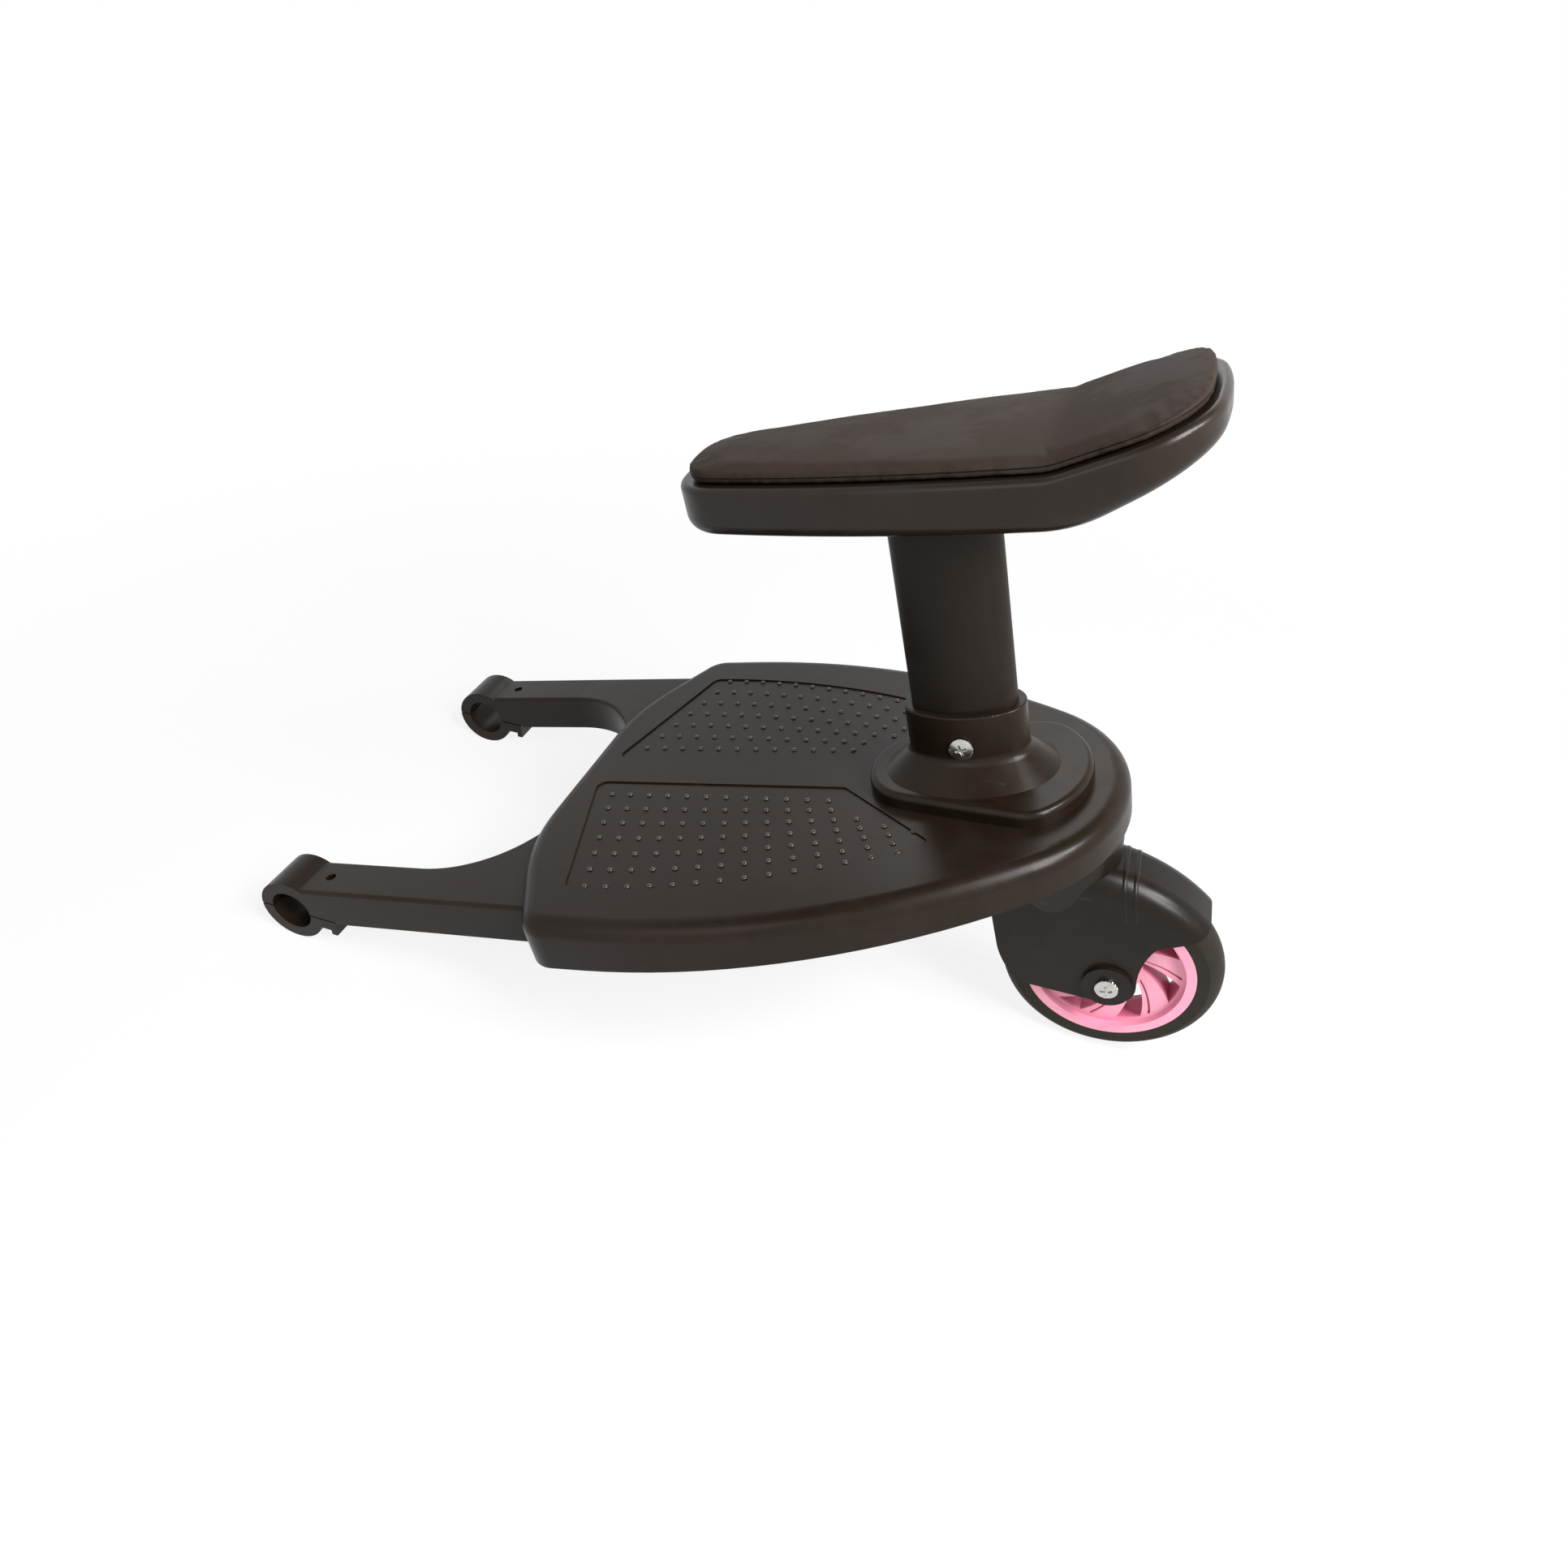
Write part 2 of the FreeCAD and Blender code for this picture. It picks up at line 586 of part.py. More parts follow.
def deck_outline(inset):
    """Deck outline, or the same moved in by an inset."""
    half = deck_half_width - inset
    side = deck_side_radius - inset
    front = deck_front - inset
    bow = deck_front_radius - inset
    corner = deck_corner_radius - inset
    rear = deck_rear_radius - inset
    offset = half - side
    share = side / (side - rear)
    rear_x = rear - (deck_rear - inset)
    join_x = deck_wide_at + (rear_x - deck_wide_at) * share
    join_y = offset - offset * share
    bow_x = front - bow * (1 - cosine(deck_front_turn))
    bow_y = deck_front_half + bow * sine(deck_front_turn)
    corner_x = bow_x - (half - bow_y) * tangent(deck_front_turn)
    cut = corner * tangent((90 - deck_front_turn) / 2)
    left = [(front, deck_front_half, bow), (bow_x, bow_y),
            (corner_x + cut * sine(deck_front_turn), half - cut * cosine(deck_front_turn), corner),
            (corner_x - cut, half), (deck_wide_at, half, side), (join_x, join_y, rear)]
    right = [(join_x, -join_y, side), (deck_wide_at, -half), (corner_x - cut, -half, corner),
             (corner_x + cut * sine(deck_front_turn), cut * cosine(deck_front_turn) - half),
             (bow_x, -bow_y, bow), (front, -deck_front_half)]
    return left + right


def deck_half_width_at(x):
    """Half width of the deck along its long side curve."""
    reach = x - deck_wide_at
    return deck_half_width - deck_side_radius + root(deck_side_radius * deck_side_radius - reach * reach)


def end_join(x, y, corner, arc, forward):
    """Where the curve across one end meets its left corner."""
    spread = arc - corner
    centre = x - forward * root(spread * spread - y * y)
    share = arc / spread
    return centre + (x - centre) * share, y * share


def shield(front, rear, side, inset):
    """A rounded outline, wider at the rear, moved in by an inset. Each end gives its corner centre,
    its corner radius and the radius of the curve across it."""
    front_x, front_y, front_corner, front_arc = front
    rear_x, rear_y, rear_corner, rear_arc = rear
    run = rear_x - front_x
    rise = rear_y - front_y
    reach = root(run * run + rise * rise)
    near = side - front_corner
    far = side - rear_corner
    along = (near * near - far * far + reach * reach) / (2 * reach)
    across = root(near * near - along * along)
    side_x = front_x + (run * along - rise * across) / reach
    side_y = front_y + (rise * along + run * across) / reach
    ahead = (front_corner - inset) / near
    behind = (rear_corner - inset) / far
    front_join = end_join(front_x, front_y, front_corner - inset, front_arc - inset, 1)
    rear_join = end_join(rear_x, rear_y, rear_corner - inset, rear_arc - inset, -1)
    front_end = (front_x + (front_x - side_x) * ahead, front_y + (front_y - side_y) * ahead)
    rear_end = (rear_x + (rear_x - side_x) * behind, rear_y + (rear_y - side_y) * behind)
    left = [front_join + (front_corner - inset,), front_end + (side - inset,),
            rear_end + (rear_corner - inset,), rear_join + (rear_arc - inset,)]
    right = [(rear_join[0], -rear_join[1], rear_corner - inset), (rear_end[0], -rear_end[1], side - inset),
             (front_end[0], -front_end[1], front_corner - inset),
             (front_join[0], -front_join[1], front_arc - inset)]
    return left + right


def four_arcs(x, length, depth, end):
    """An oval of two end arcs and two side arcs, half length by half depth."""
    run = length - end
    spare = depth - end
    drop = (run * run - spare * spare) / (2 * spare)
    side = depth + drop
    share = end / (side - end)
    reach = run + run * share
    y = drop * share
    return [(x + reach, -y, end), (x + reach, y, side), (x - reach, y, end), (x - reach, -y, side)]


def oval(grow):
    """Section of the post, grown by an amount all round."""
    return four_arcs(post_x, post_half_length + grow, post_half_depth + grow, post_end_radius + grow)


def split_place(side_y, height=0):
    """Sketch place on the tilted clamp split, its origin on the tube axis."""
    turn = FreeCAD.Rotation(Vector(0, 1, 0), -float(split_tilt))
    lift = turn.multVec(Vector(0, 0, float(height)))
    return FreeCAD.Placement(Vector(bore_x, side_y, bore_z) + lift, turn)


# Deck: plate, skirt, arms and upper clamp halves in one moulding
def build_deck():
    """The deck moulding."""
    body = new_body("Deck")
    plate = sketch_on(body, "DeckOutline", "XY_Plane", -skirt_drop)
    outline(plate, deck_outline(Size(0)))
    pad(body, "DeckPlate", plate, deck_top + skirt_drop)
    fillet(body, "DeckRim", deck_rim_radius, lambda edge: level(edge, deck_top))
    hem = sketch_on(body, "SkirtHemLine", "XZ_Plane")
    outline(hem, [(deck_front, -skirt_drop), (-deck_rear, -skirt_rear_drop), (-deck_rear, -skirt_drop)])
    pocket(body, "SkirtHem", hem, both=True)
    add_arms(body)
    cut_body(body, "Cavity", deck_cavity())
    add_ribs(body)
    cut_panels(body)
    cut_swivel(body)
    return keep(body, "deck")


def deck_cavity():
    """The hollow under the plate, its roof rounded like the rim."""
    body = new_body("DeckHollow")
    sketch = sketch_on(body, "HollowOutline", "XY_Plane", -skirt_drop)
    outline(sketch, deck_outline(deck_wall))
    pad(body, "Hollow", sketch, deck_under + skirt_drop)
    fillet(body, "HollowRim", deck_rim_radius - deck_wall, lambda edge: level(edge, deck_under))
    return body


def add_arms(body):
    """Arms, their channels and the upper clamp halves."""
    flare_y = arm_inner - flare_radius
    flare_end = flare_y + root(flare_radius * flare_radius - flare_length * flare_length)
    arm = [(arm_root, arm_outer), (bore_x, arm_outer), (bore_x, arm_inner),
           (flare_start, arm_inner, flare_radius), (deck_front, flare_end), (arm_root, flare_end)]
    channel = [(channel_rear, arm_outer - channel_wall), (channel_front, arm_outer - channel_wall),
               (channel_front, arm_inner + channel_wall), (channel_rear, arm_inner + channel_wall)]
    for name, side in SIDES.items():
        sketch = sketch_on(body, f"ArmOutline_{name}", "XY_Plane", -arm_depth)
        outline(sketch, on_side(arm, side))
        pad(body, f"Arm_{name}", sketch, arm_depth)
        fillet(body, f"ArmEdges_{name}", arm_edge, lambda edge: on_arm_top(edge, side))
        face = arm_outer if side > 0 else -arm_inner
        head = sketch_on(body, f"HeadOutline_{name}", "XZ_Plane", -face)
        circle(head, bore_x, bore_z, head_radius)
        pad(body, f"Head_{name}", head, arm_width)
    for name, side in SIDES.items():
        hollow = sketch_on(body, f"ChannelOutline_{name}", "XY_Plane", -arm_depth)
        outline(hollow, on_side(channel, side))
        pocket(body, f"Channel_{name}", hollow, arm_depth - channel_wall, reverse=True)
        cut_clamp(body, name, side)


def on_arm_top(edge, side):
    """True for a long top edge of one arm."""
    box = edge.BoundBox
    return level(edge, 0) and box.XLength > arm_width / 2 and box.Center.y * side > 0


def cut_clamp(body, name, side):
    """Split, tube bore, screw holes and nut pockets of one clamp."""
    middle = side * (arm_outer + arm_inner) / 2
    face = arm_outer if side > 0 else -arm_inner
    rise = tangent(split_tilt)
    gap = split_gap / 2
    far = head_radius + lug_reach
    rear_x = bore_x - lug_reach - gap
    below = sketch_on(body, f"SplitOutline_{name}", "XZ_Plane", -face)
    outline(below, [(rear_x, bore_z - (lug_reach + gap) * rise + gap), (rear_x, bore_z - far),
                    (bore_x + far, bore_z - far), (bore_x + far, bore_z + far * rise + gap)])
    pocket(body, f"Split_{name}", below, arm_width, reverse=True)
    bore = sketch_on(body, f"BoreOutline_{name}", "XZ_Plane", -face)
    circle(bore, bore_x, bore_z, bore_radius)
    pocket(body, f"Bore_{name}", bore, arm_width, reverse=True)
    holes = sketch_on(body, f"ScrewOutline_{name}", "XY_Plane", local=split_place(middle))
    for reach in (screw_front, -screw_rear):
        circle(holes, reach, Size(0), clamp_screw_radius + bolt_play)
    pocket(body, f"ScrewHoles_{name}", holes, reverse=True)
    nuts = sketch_on(body, f"NutOutline_{name}", "XY_Plane", local=split_place(middle, clamp_nut_seat))
    for reach in (screw_front, -screw_rear):
        hexagon(nuts, reach, Size(0), clamp_nut_flats + 2 * bolt_play)
    pocket(body, f"NutPockets_{name}", nuts, reverse=True)


def add_ribs(body):
    """Ribs, swivel boss and screw bosses under the plate."""
    half = rib_thickness / 2
    bottom = rib_clear - skirt_drop
    height = deck_under - bottom + half
    for index in range(3):
        x = cross_rib_first + cross_rib_pitch * index
        reach = deck_half_width_at(x) - rib_inset
        sketch = sketch_on(body, f"CrossRibOutline{index}", "XY_Plane", bottom)
        outline(sketch, [(x - half, -reach), (x + half, -reach), (x + half, reach), (x - half, reach)])
        pad(body, f"CrossRib{index}", sketch, height)
    for name, side in SIDES.items():
        inner = long_rib_y - half
        outer = long_rib_y + half
        rear = long_rib_rear
        front = deck_front - rib_inset
        sketch = sketch_on(body, f"LongRibOutline_{name}", "XY_Plane", bottom)
        outline(sketch, on_side([(rear, inner), (front, inner), (front, outer), (rear, outer)], side))
        pad(body, f"LongRib_{name}", sketch, height)
    boss = sketch_on(body, "SwivelBossOutline", "XY_Plane", -swivel_boss_drop)
    circle(boss, Size(0), Size(0), swivel_boss_radius)
    pad(body, "SwivelBoss", boss, swivel_boss_drop + deck_under + half)


def cut_panels(body):
    """The two recessed standing panels."""
    panel = [(panel_front, panel_inner), (panel_outer_front_x, panel_outer_front_y, panel_outer_radius),
             (panel_outer_rear_x, panel_outer_rear_y), (panel_rear, panel_inner)]
    for name, side in SIDES.items():
        block = new_body(f"PanelBlock_{name}")
        sketch = sketch_on(block, "PanelOutline", "XY_Plane", deck_top - panel_depth)
        outline(sketch, on_side(panel, side))
        pad(block, "PanelPlate", sketch, 2 * panel_depth)
        fillet(block, "PanelCorners", panel_corner, upright)
        cut_body(body, f"Panel_{name}", block)


def cut_swivel(body):
    """Bore for the bushes, well for the stem nut and holes for the pedestal screws."""
    bore = sketch_on(body, "SwivelBoreOutline", "XY_Plane", deck_top)
    circle(bore, Size(0), Size(0), stem_radius + stem_play + bush_wall)
    pocket(body, "SwivelBore", bore)
    well = sketch_on(body, "NutWellOutline", "XY_Plane", deck_top)
    circle(well, Size(0), Size(0), nut_well_radius)
    pocket(body, "NutWell", well, nut_well_depth)
    holes = sketch_on(body, "PedestalHoles", "XY_Plane", deck_top)
    for x, y in pedestal_screw_spots():
        circle(holes, x, y, wood_screw_radius + bolt_play)
    pocket(body, "PedestalScrewHoles", holes, deck_floor + rib_thickness)


def pedestal_screw_spots():
    """Places of the four pedestal screws."""
    return [(pedestal_screw_front, pedestal_screw_front_y), (pedestal_screw_front, -pedestal_screw_front_y),
            (pedestal_screw_rear, pedestal_screw_rear_y), (pedestal_screw_rear, -pedestal_screw_rear_y)]


# Lower halves of the clamps, with their screws and nuts
def build_clamps():
    """Two clamp caps, four screws and four nuts."""
    gap = split_gap / 2
    edge = root(head_radius * head_radius - gap * gap)
    low = root(head_radius * head_radius - lug_depth * lug_depth)
    deep = lug_depth + lug_lip
    lip = lug_reach - lug_lip_length
    cap = [(edge, -gap, -head_radius), (-low, -lug_depth), (-lip, -lug_depth), (-lip, -deep),
           (-lug_reach, -deep), (-lug_reach, -gap)]
    tilt = FreeCAD.Rotation(Vector(0, 1, 0), -float(split_tilt))
    for name, side in SIDES.items():
        middle = side * (arm_outer + arm_inner) / 2
        place = FreeCAD.Placement(Vector(bore_x, middle, bore_z), tilt)
        body = new_body(f"ClampCap_{name}")
        ring = sketch_on(body, "CapOutline", "XZ_Plane")
        outline(ring, cap)
        pad(body, "CapRing", ring, arm_width, both=True)
        bore = sketch_on(body, "CapBoreOutline", "XZ_Plane")
        circle(bore, Size(0), Size(0), bore_radius)
        pocket(body, "CapBore", bore, both=True)
        holes = sketch_on(body, "CapHoles", "XY_Plane")
        for reach in (screw_front, -screw_rear):
            circle(holes, reach, Size(0), clamp_screw_radius + bolt_play)
        pocket(body, "CapScrewHoles", holes)
        seat = sketch_on(body, "SeatOutline", "XY_Plane", -screw_front_seat)
        circle(seat, screw_front, Size(0), clamp_head_radius + 2 * bolt_play)
        pocket(body, "ScrewSeat", seat)
        keep(body, f"clamp_cap_{name}", place)
    screw = clamp_screw()
    nut = hex_nut("ClampNutMaster", clamp_nut_flats, clamp_nut_height, clamp_screw_radius)
    screws = []
    nuts = []
    for side in SIDES.values():
        middle = side * (arm_outer + arm_inner) / 2
        for reach, seat in ((screw_front, screw_front_seat), (-screw_rear, lug_depth)):
            lift = clamp_nut_seat + seat
            foot = split_place(middle).multiply(FreeCAD.Placement(Vector(reach, 0, -seat), UPRIGHT))
            screws.append(foot)
            nuts.append(foot.multiply(FreeCAD.Placement(Vector(0, lift, 0), FreeCAD.Rotation())))
    group("ClampScrews", "clamp_screws", screw, screws)
    group("ClampNuts", "clamp_nuts", nut, nuts)


def clamp_screw():
    """One clamp screw, its head below its origin and its shank up to the nut's top."""
    body = new_body("ClampScrewMaster")
    shank = clamp_nut_seat + screw_front_seat + clamp_nut_height
    revolve(body, "Screw", headed(clamp_screw_radius, shank, clamp_head_radius, clamp_head_height))
    return body


def headed(shank_radius, length, head_radius_size, head_height):
    """Half outline of a screw with a rounded head below its origin."""
    crown = head_radius_size * 2
    return [(Size(0), -head_height, 2 * crown), (head_radius_size, -head_height / 2),
            (head_radius_size, Size(0)), (shank_radius, Size(0)), (shank_radius, length), (Size(0), length)]


def hex_nut(name, flats, height, bore):
    """One hexagon nut standing on its origin along y."""
    body = new_body(name)
    sketch = sketch_on(body, "NutOutline", "XZ_Plane")
    hexagon(sketch, Size(0), Size(0), flats)
    pad(body, "Nut", sketch, height, reverse=True)
    hole = sketch_on(body, "NutBore", "XZ_Plane")
    circle(hole, Size(0), Size(0), bore)
    pocket(body, "NutHole", hole)
    return body


# Pedestal, post and the bolt through them
def build_pedestal():
    """Shield-shaped base with a flared collar."""
    body = new_body("Pedestal")
    rim = deck_top + pedestal_height
    base = sketch_on(body, "PedestalOutline", "XY_Plane", deck_top)
    front = (pedestal_front_x, pedestal_front_y, pedestal_front_corner, pedestal_front_radius)
    rear = (pedestal_corner_x, pedestal_corner_y, pedestal_corner_radius, pedestal_rear_radius)
    outline(base, shield(front, rear, pedestal_side_radius, Size(0)))
    pad(body, "PedestalBase", base, pedestal_height)
    fillet(body, "PedestalRim", pedestal_edge, lambda edge: level(edge, rim))
    grow = post_fit + collar_wall
    foot = sketch_on(body, "FootOutline", "XY_Plane", rim - pedestal_edge / 4)
    outline(foot, oval(grow + flare_grow))
    neck = sketch_on(body, "NeckOutline", "XY_Plane", deck_top + flare_height)
    outline(neck, oval(grow))
    flare = body.newObject("PartDesign::AdditiveLoft", "Flare")
    flare.Profile = foot
    flare.Sections = [neck]
    collar = sketch_on(body, "CollarOutline", "XY_Plane", deck_top + flare_height)
    outline(collar, oval(grow))
    pad(body, "Collar", collar, collar_height - flare_height)
    fillet(body, "CollarFoot", collar_foot_radius, lambda edge: level(edge, deck_top + flare_height))
    fillet(body, "CollarMouth", collar_lip, lambda edge: level(edge, collar_top))
    socket = sketch_on(body, "SocketOutline", "XY_Plane", collar_top)
    outline(socket, oval(post_fit))
    pocket(body, "Socket", socket, collar_top - post_bottom)
    cut_bolt_hole(body)
    for name, side, play in (("Head", 1, post_bolt_head_radius), ("Washer", -1, post_washer_radius)):
        flat = sketch_on(body, f"{name}FlatOutline", "XZ_Plane", -side * bolt_seat())
        circle(flat, post_x, bolt_z, play + 4 * bolt_play)
        pocket(body, f"{name}Flat", flat, reverse=side < 0)
    pilots = sketch_on(body, "PilotOutline", "XY_Plane", deck_top)
    for x, y in pedestal_screw_spots():
        circle(pilots, x, y, wood_screw_radius + bolt_play)
    pocket(body, "Pilots", pilots, pedestal_screw_length - deck_floor + thread_end / 2, reverse=True)
    keep(body, "seat_pedestal")
    screw = wood_screw("PedestalScrewMaster", pedestal_screw_length)
    places = [FreeCAD.Placement(Vector(x, y, deck_under), UPRIGHT) for x, y in pedestal_screw_spots()]
    group("PedestalScrews", "pedestal_screws", screw, places)


def bolt_seat():
    """Flat under the post bolt's head, from the middle of the post."""
    return post_half_depth + post_fit + collar_wall - spot_depth


def cut_bolt_hole(body):
    """Cross hole for the post bolt."""
    hole = sketch_on(body, "BoltHoleOutline", "XZ_Plane")
    circle(hole, post_x, bolt_z, post_bolt_radius + bolt_play)
    pocket(body, "BoltHole", hole, both=True)


def wood_screw(name, length):
    """One screw with a rounded head."""
    body = new_body(name)
    revolve(body, "Screw", headed(wood_screw_radius, length, wood_screw_head_radius, wood_screw_head_height))
    return body


def build_post():
    """Hollow oval post with a solid head, and the bolt, washer and nut through its foot."""
    body = new_body("Post")
    section = sketch_on(body, "PostOutline", "XY_Plane", post_bottom)
    outline(section, oval(Size(0)))
    pad(body, "PostTube", section, pan_under - post_bottom)
    hollow = sketch_on(body, "PostHollowOutline", "XY_Plane", post_bottom)
    outline(hollow, oval(-post_wall))
    pocket(body, "PostHollow", hollow, pan_under - post_bottom - post_head, reverse=True)
    cut_bolt_hole(body)
    pilots = sketch_on(body, "SeatPilotOutline", "XY_Plane", pan_under)
    for x, y in seat_screw_spots():
        circle(pilots, x, y, wood_screw_radius + bolt_play)
    pocket(body, "SeatPilots", pilots, seat_screw_length)
    keep(body, "seat_post")
    seat = bolt_seat()
    reach = 2 * seat + post_washer_height + post_nut_height + thread_end
    bolt = new_body("PostBolt")
    revolve(bolt, "Bolt", headed(post_bolt_radius, reach, post_bolt_head_radius, post_bolt_head_height))
    keep(bolt, "post_bolt", FreeCAD.Placement(Vector(post_x, seat, bolt_z), TURNED))
    washer = new_body("PostWasher")
    ring(washer, post_bolt_radius + bolt_play, post_washer_radius, Size(0), post_washer_height)
    keep(washer, "post_washer", FreeCAD.Placement(Vector(post_x, -seat, bolt_z), TURNED))
    nut = hex_nut("PostNut", post_nut_flats, post_nut_height, post_bolt_radius + bolt_play)
    keep(nut, "post_nut", FreeCAD.Placement(Vector(post_x, -seat - post_washer_height, bolt_z), TURNED))


def seat_screw_spots():
    """Places of the four seat screws."""
    return [(post_x + x * seat_screw_x, y * seat_screw_y) for x in (1, -1) for y in (1, -1)]


def ring(body, inner, outer, low, high):
    """A plain ring about the y axis."""
    revolve(body, "Ring", [(inner, low), (outer, low), (outer, high), (inner, high)])


# Seat pan, pad and the screws under the pad
def pan_outline(inset):
    """Outline of the pan, moved in by an inset."""
    front = (pan_front_x, pan_front_y, pan_front_corner, pan_front_radius)
    rear = (pan_corner_x, pan_corner_y, pan_corner_radius, pan_rear_radius)
    return shield(front, rear, pan_side_radius, inset)


def kick_line(lift, turn):
    """Side line of the seat at a height above the pan's bottom: flat, then turned up at the rear."""
    radius = kick_radius - lift
    front = pan_front_x + 2 * pan_front_corner
    bend_x = kick_x - radius * sine(turn)
    bend_z = seat_bottom + lift + radius * (1 - cosine(turn))
    run = 2 * pan_corner_radius
    return [(front, seat_bottom + lift), (kick_x, seat_bottom + lift, -radius), (bend_x, bend_z),
            (bend_x - run * cosine(turn), bend_z + run * sine(turn))]


def on_kick_line(edge, lift, turn):
    """True for an edge of the pan's rim at a height above its bottom."""
    line = kick_line(lift, turn)
    radius = float(kick_radius - lift)
    bend = line[2]
    if edge.BoundBox.XLength < 1e-4:
        return False
    for point in edge.discretize(5):
        if point.x >= kick_x:
            height = line[1][1]
        elif point.x >= bend[0]:
            height = line[1][1] + radius - math.sqrt(radius ** 2 - (point.x - kick_x) ** 2)
        else:
            height = bend[1] + (bend[0] - point.x) * tangent(turn)
        if abs(point.z - height) > 1e-3:
            return False
    return True


def build_pan():
    """Pan with a turned-up rear, a hollow underside and a socket for the post."""
    body = new_body("Pan")
    tall = pan_height + pan_corner_radius
    block = sketch_on(body, "PanOutline", "XY_Plane", seat_bottom)
    outline(block, pan_outline(Size(0)))
    pad(body, "PanBlock", block, tall)
    above = sketch_on(body, "PanTopLine", "XZ_Plane")
    line = kick_line(pan_height, kick_top_angle)
    high = seat_bottom + 2 * tall
    outline(above, line + [(line[3][0], high), (line[0][0], high)])
    pocket(body, "PanTop", above, both=True)
    under = sketch_on(body, "PanUnderLine", "XZ_Plane")
    line = kick_line(Size(0), kick_angle)
    low = seat_bottom - pan_height
    outline(under, line[1:] + [(line[3][0], low), (kick_x, low)])
    pocket(body, "PanUnder", under, both=True)
    fillet(body, "PanBottomEdge", pan_bottom_edge, lambda edge: on_kick_line(edge, Size(0), kick_angle))
    fillet(body, "PanTopEdge", pan_top_edge, lambda edge: on_kick_line(edge, pan_height, kick_top_angle))
    hollow = sketch_on(body, "PanHollowOutline", "XY_Plane", seat_bottom)
    outline(hollow, pan_outline(pan_wall))
    pocket(body, "PanHollow", hollow, pan_height - pan_floor, reverse=True)
    socket = sketch_on(body, "PanSocketOutline", "XY_Plane", seat_bottom + post_wall)
    outline(socket, oval(post_fit + post_wall))
    outline(socket, oval(post_fit))
    pad(body, "PanSocket", socket, pan_height - pan_floor / 2 - post_wall)
    holes = sketch_on(body, "SeatHoleOutline", "XY_Plane", pan_top)
    heads = sketch_on(body, "SeatHeadOutline", "XY_Plane", pan_top)
    for x, y in seat_screw_spots():
        circle(holes, x, y, wood_screw_radius + bolt_play)
        circle(heads, x, y, wood_screw_head_radius + 2 * bolt_play)
    pocket(body, "SeatHoles", holes, pan_floor)
    pocket(body, "SeatHeads", heads, wood_screw_head_height + 2 * bolt_play)
    keep(body, "seat_pan")
    seat = pan_top - wood_screw_head_height - 2 * bolt_play
    screw = wood_screw("SeatScrewMaster", seat_screw_length)
    down = FreeCAD.Rotation(Vector(1, 0, 0), -90)
    places = [FreeCAD.Placement(Vector(x, y, seat), down) for x, y in seat_screw_spots()]
    group("SeatScrews", "seat_screws", screw, places)


def pad_section(y, height):
    """Closed side section of the pad at one place across the seat."""
    lower = [Vector(x, y, z) for x, z in kick_points(pan_height + pad_gap)]
    upper = [Vector(x, y, z) for x, z in kick_points(pan_height + pad_gap + height)]
    edges = [Part.LineSegment(lower[0], lower[1]), Part.Arc(lower[1], lower[2], lower[3]),
             Part.LineSegment(lower[3], lower[4]), Part.LineSegment(lower[4], upper[4]),
             Part.LineSegment(upper[4], upper[3]), Part.Arc(upper[3], upper[2], upper[1]),
             Part.LineSegment(upper[1], upper[0]), Part.LineSegment(upper[0], lower[0])]
    return Part.Wire([edge.toShape() for edge in edges])


def kick_points(lift):
    """Points of the seat's side line, with one in the middle of its arc."""
    line = kick_line(lift, kick_top_angle)
    radius = kick_radius - lift
    half = kick_top_angle / 2
    middle = (kick_x - radius * sine(half), line[1][1] + radius * (1 - cosine(half)))
    return [line[0][:2], line[1][:2], middle, line[2][:2], line[3][:2]]


def build_pad():
    """Thin crowned pad with drawn-in sides, bent up with the pan's rear."""
    half = pan_corner_y + pan_corner_radius
    wires = []
    for share in (-1, -0.5, 0, 0.5, 1):
        wires.append(pad_section(share * half, pad_edge + pad_crown * (1 - share ** 2)))
    crowned = Part.makeLoft(wires, True)
    block = new_body("PadBlock")
    sketch = sketch_on(block, "PadOutline", "XY_Plane", seat_bottom)
    outline(sketch, pan_outline(pad_inset))
    pad(block, "PadPrism", sketch, pan_height + 2 * pan_corner_radius)
    doc.recompute()
    shape = crowned.common(block.Shape)
    rims = [edge for edge in shape.Edges if edge.BoundBox.XLength > 1e-4 and edge.BoundBox.ZLength < half]
    item = doc.addObject("Part::Feature", "SeatPad")
    item.Shape = shape.makeFillet(float(pad_round), rims)
    keep(item, "seat_pad")


# Swivel: bushes in the deck, stem of the fork, washer and nut
def build_swivel():
    """Bushes, stem, washer and nut of the swivel."""
    bore = stem_radius + stem_play
    profile = [(bore, -bush_flange), (bush_flange_radius, -bush_flange), (bush_flange_radius, Size(0)),
               (bore + bush_wall, Size(0)), (bore + bush_wall, bush_length), (bore, bush_length)]
    well = deck_top - nut_well_depth
    down = FreeCAD.Rotation(Vector(1, 0, 0), -90)
    for name, height, turn in (("lower", -swivel_boss_drop, UPRIGHT), ("upper", well, down)):
        bush = new_body(f"Bush_{name}")
        revolve(bush, "Bush", profile)
        keep(bush, f"swivel_bush_{name}", FreeCAD.Placement(Vector(0, 0, height), turn))
    foot = crown_top - stem_grip
    washer_z = well + bush_flange + swivel_play
    nut_z = washer_z + stem_washer_height
    stem = new_body("Stem")
    revolve(stem, "StemTurn", headed(stem_radius, nut_z + stem_nut_height + stem_end - foot,
                                     stem_head_radius, stem_head_height))
    keep(stem, "swivel_stem", FreeCAD.Placement(Vector(0, 0, foot), UPRIGHT))
    washer = new_body("StemWasher")
    ring(washer, stem_radius + bolt_play, stem_washer_radius, Size(0), stem_washer_height)
    keep(washer, "swivel_washer", FreeCAD.Placement(Vector(0, 0, washer_z), UPRIGHT))
    nut = hex_nut("StemNut", stem_nut_flats, stem_nut_height, stem_radius + bolt_play)
    keep(nut, "swivel_nut", FreeCAD.Placement(Vector(0, 0, nut_z), UPRIGHT))


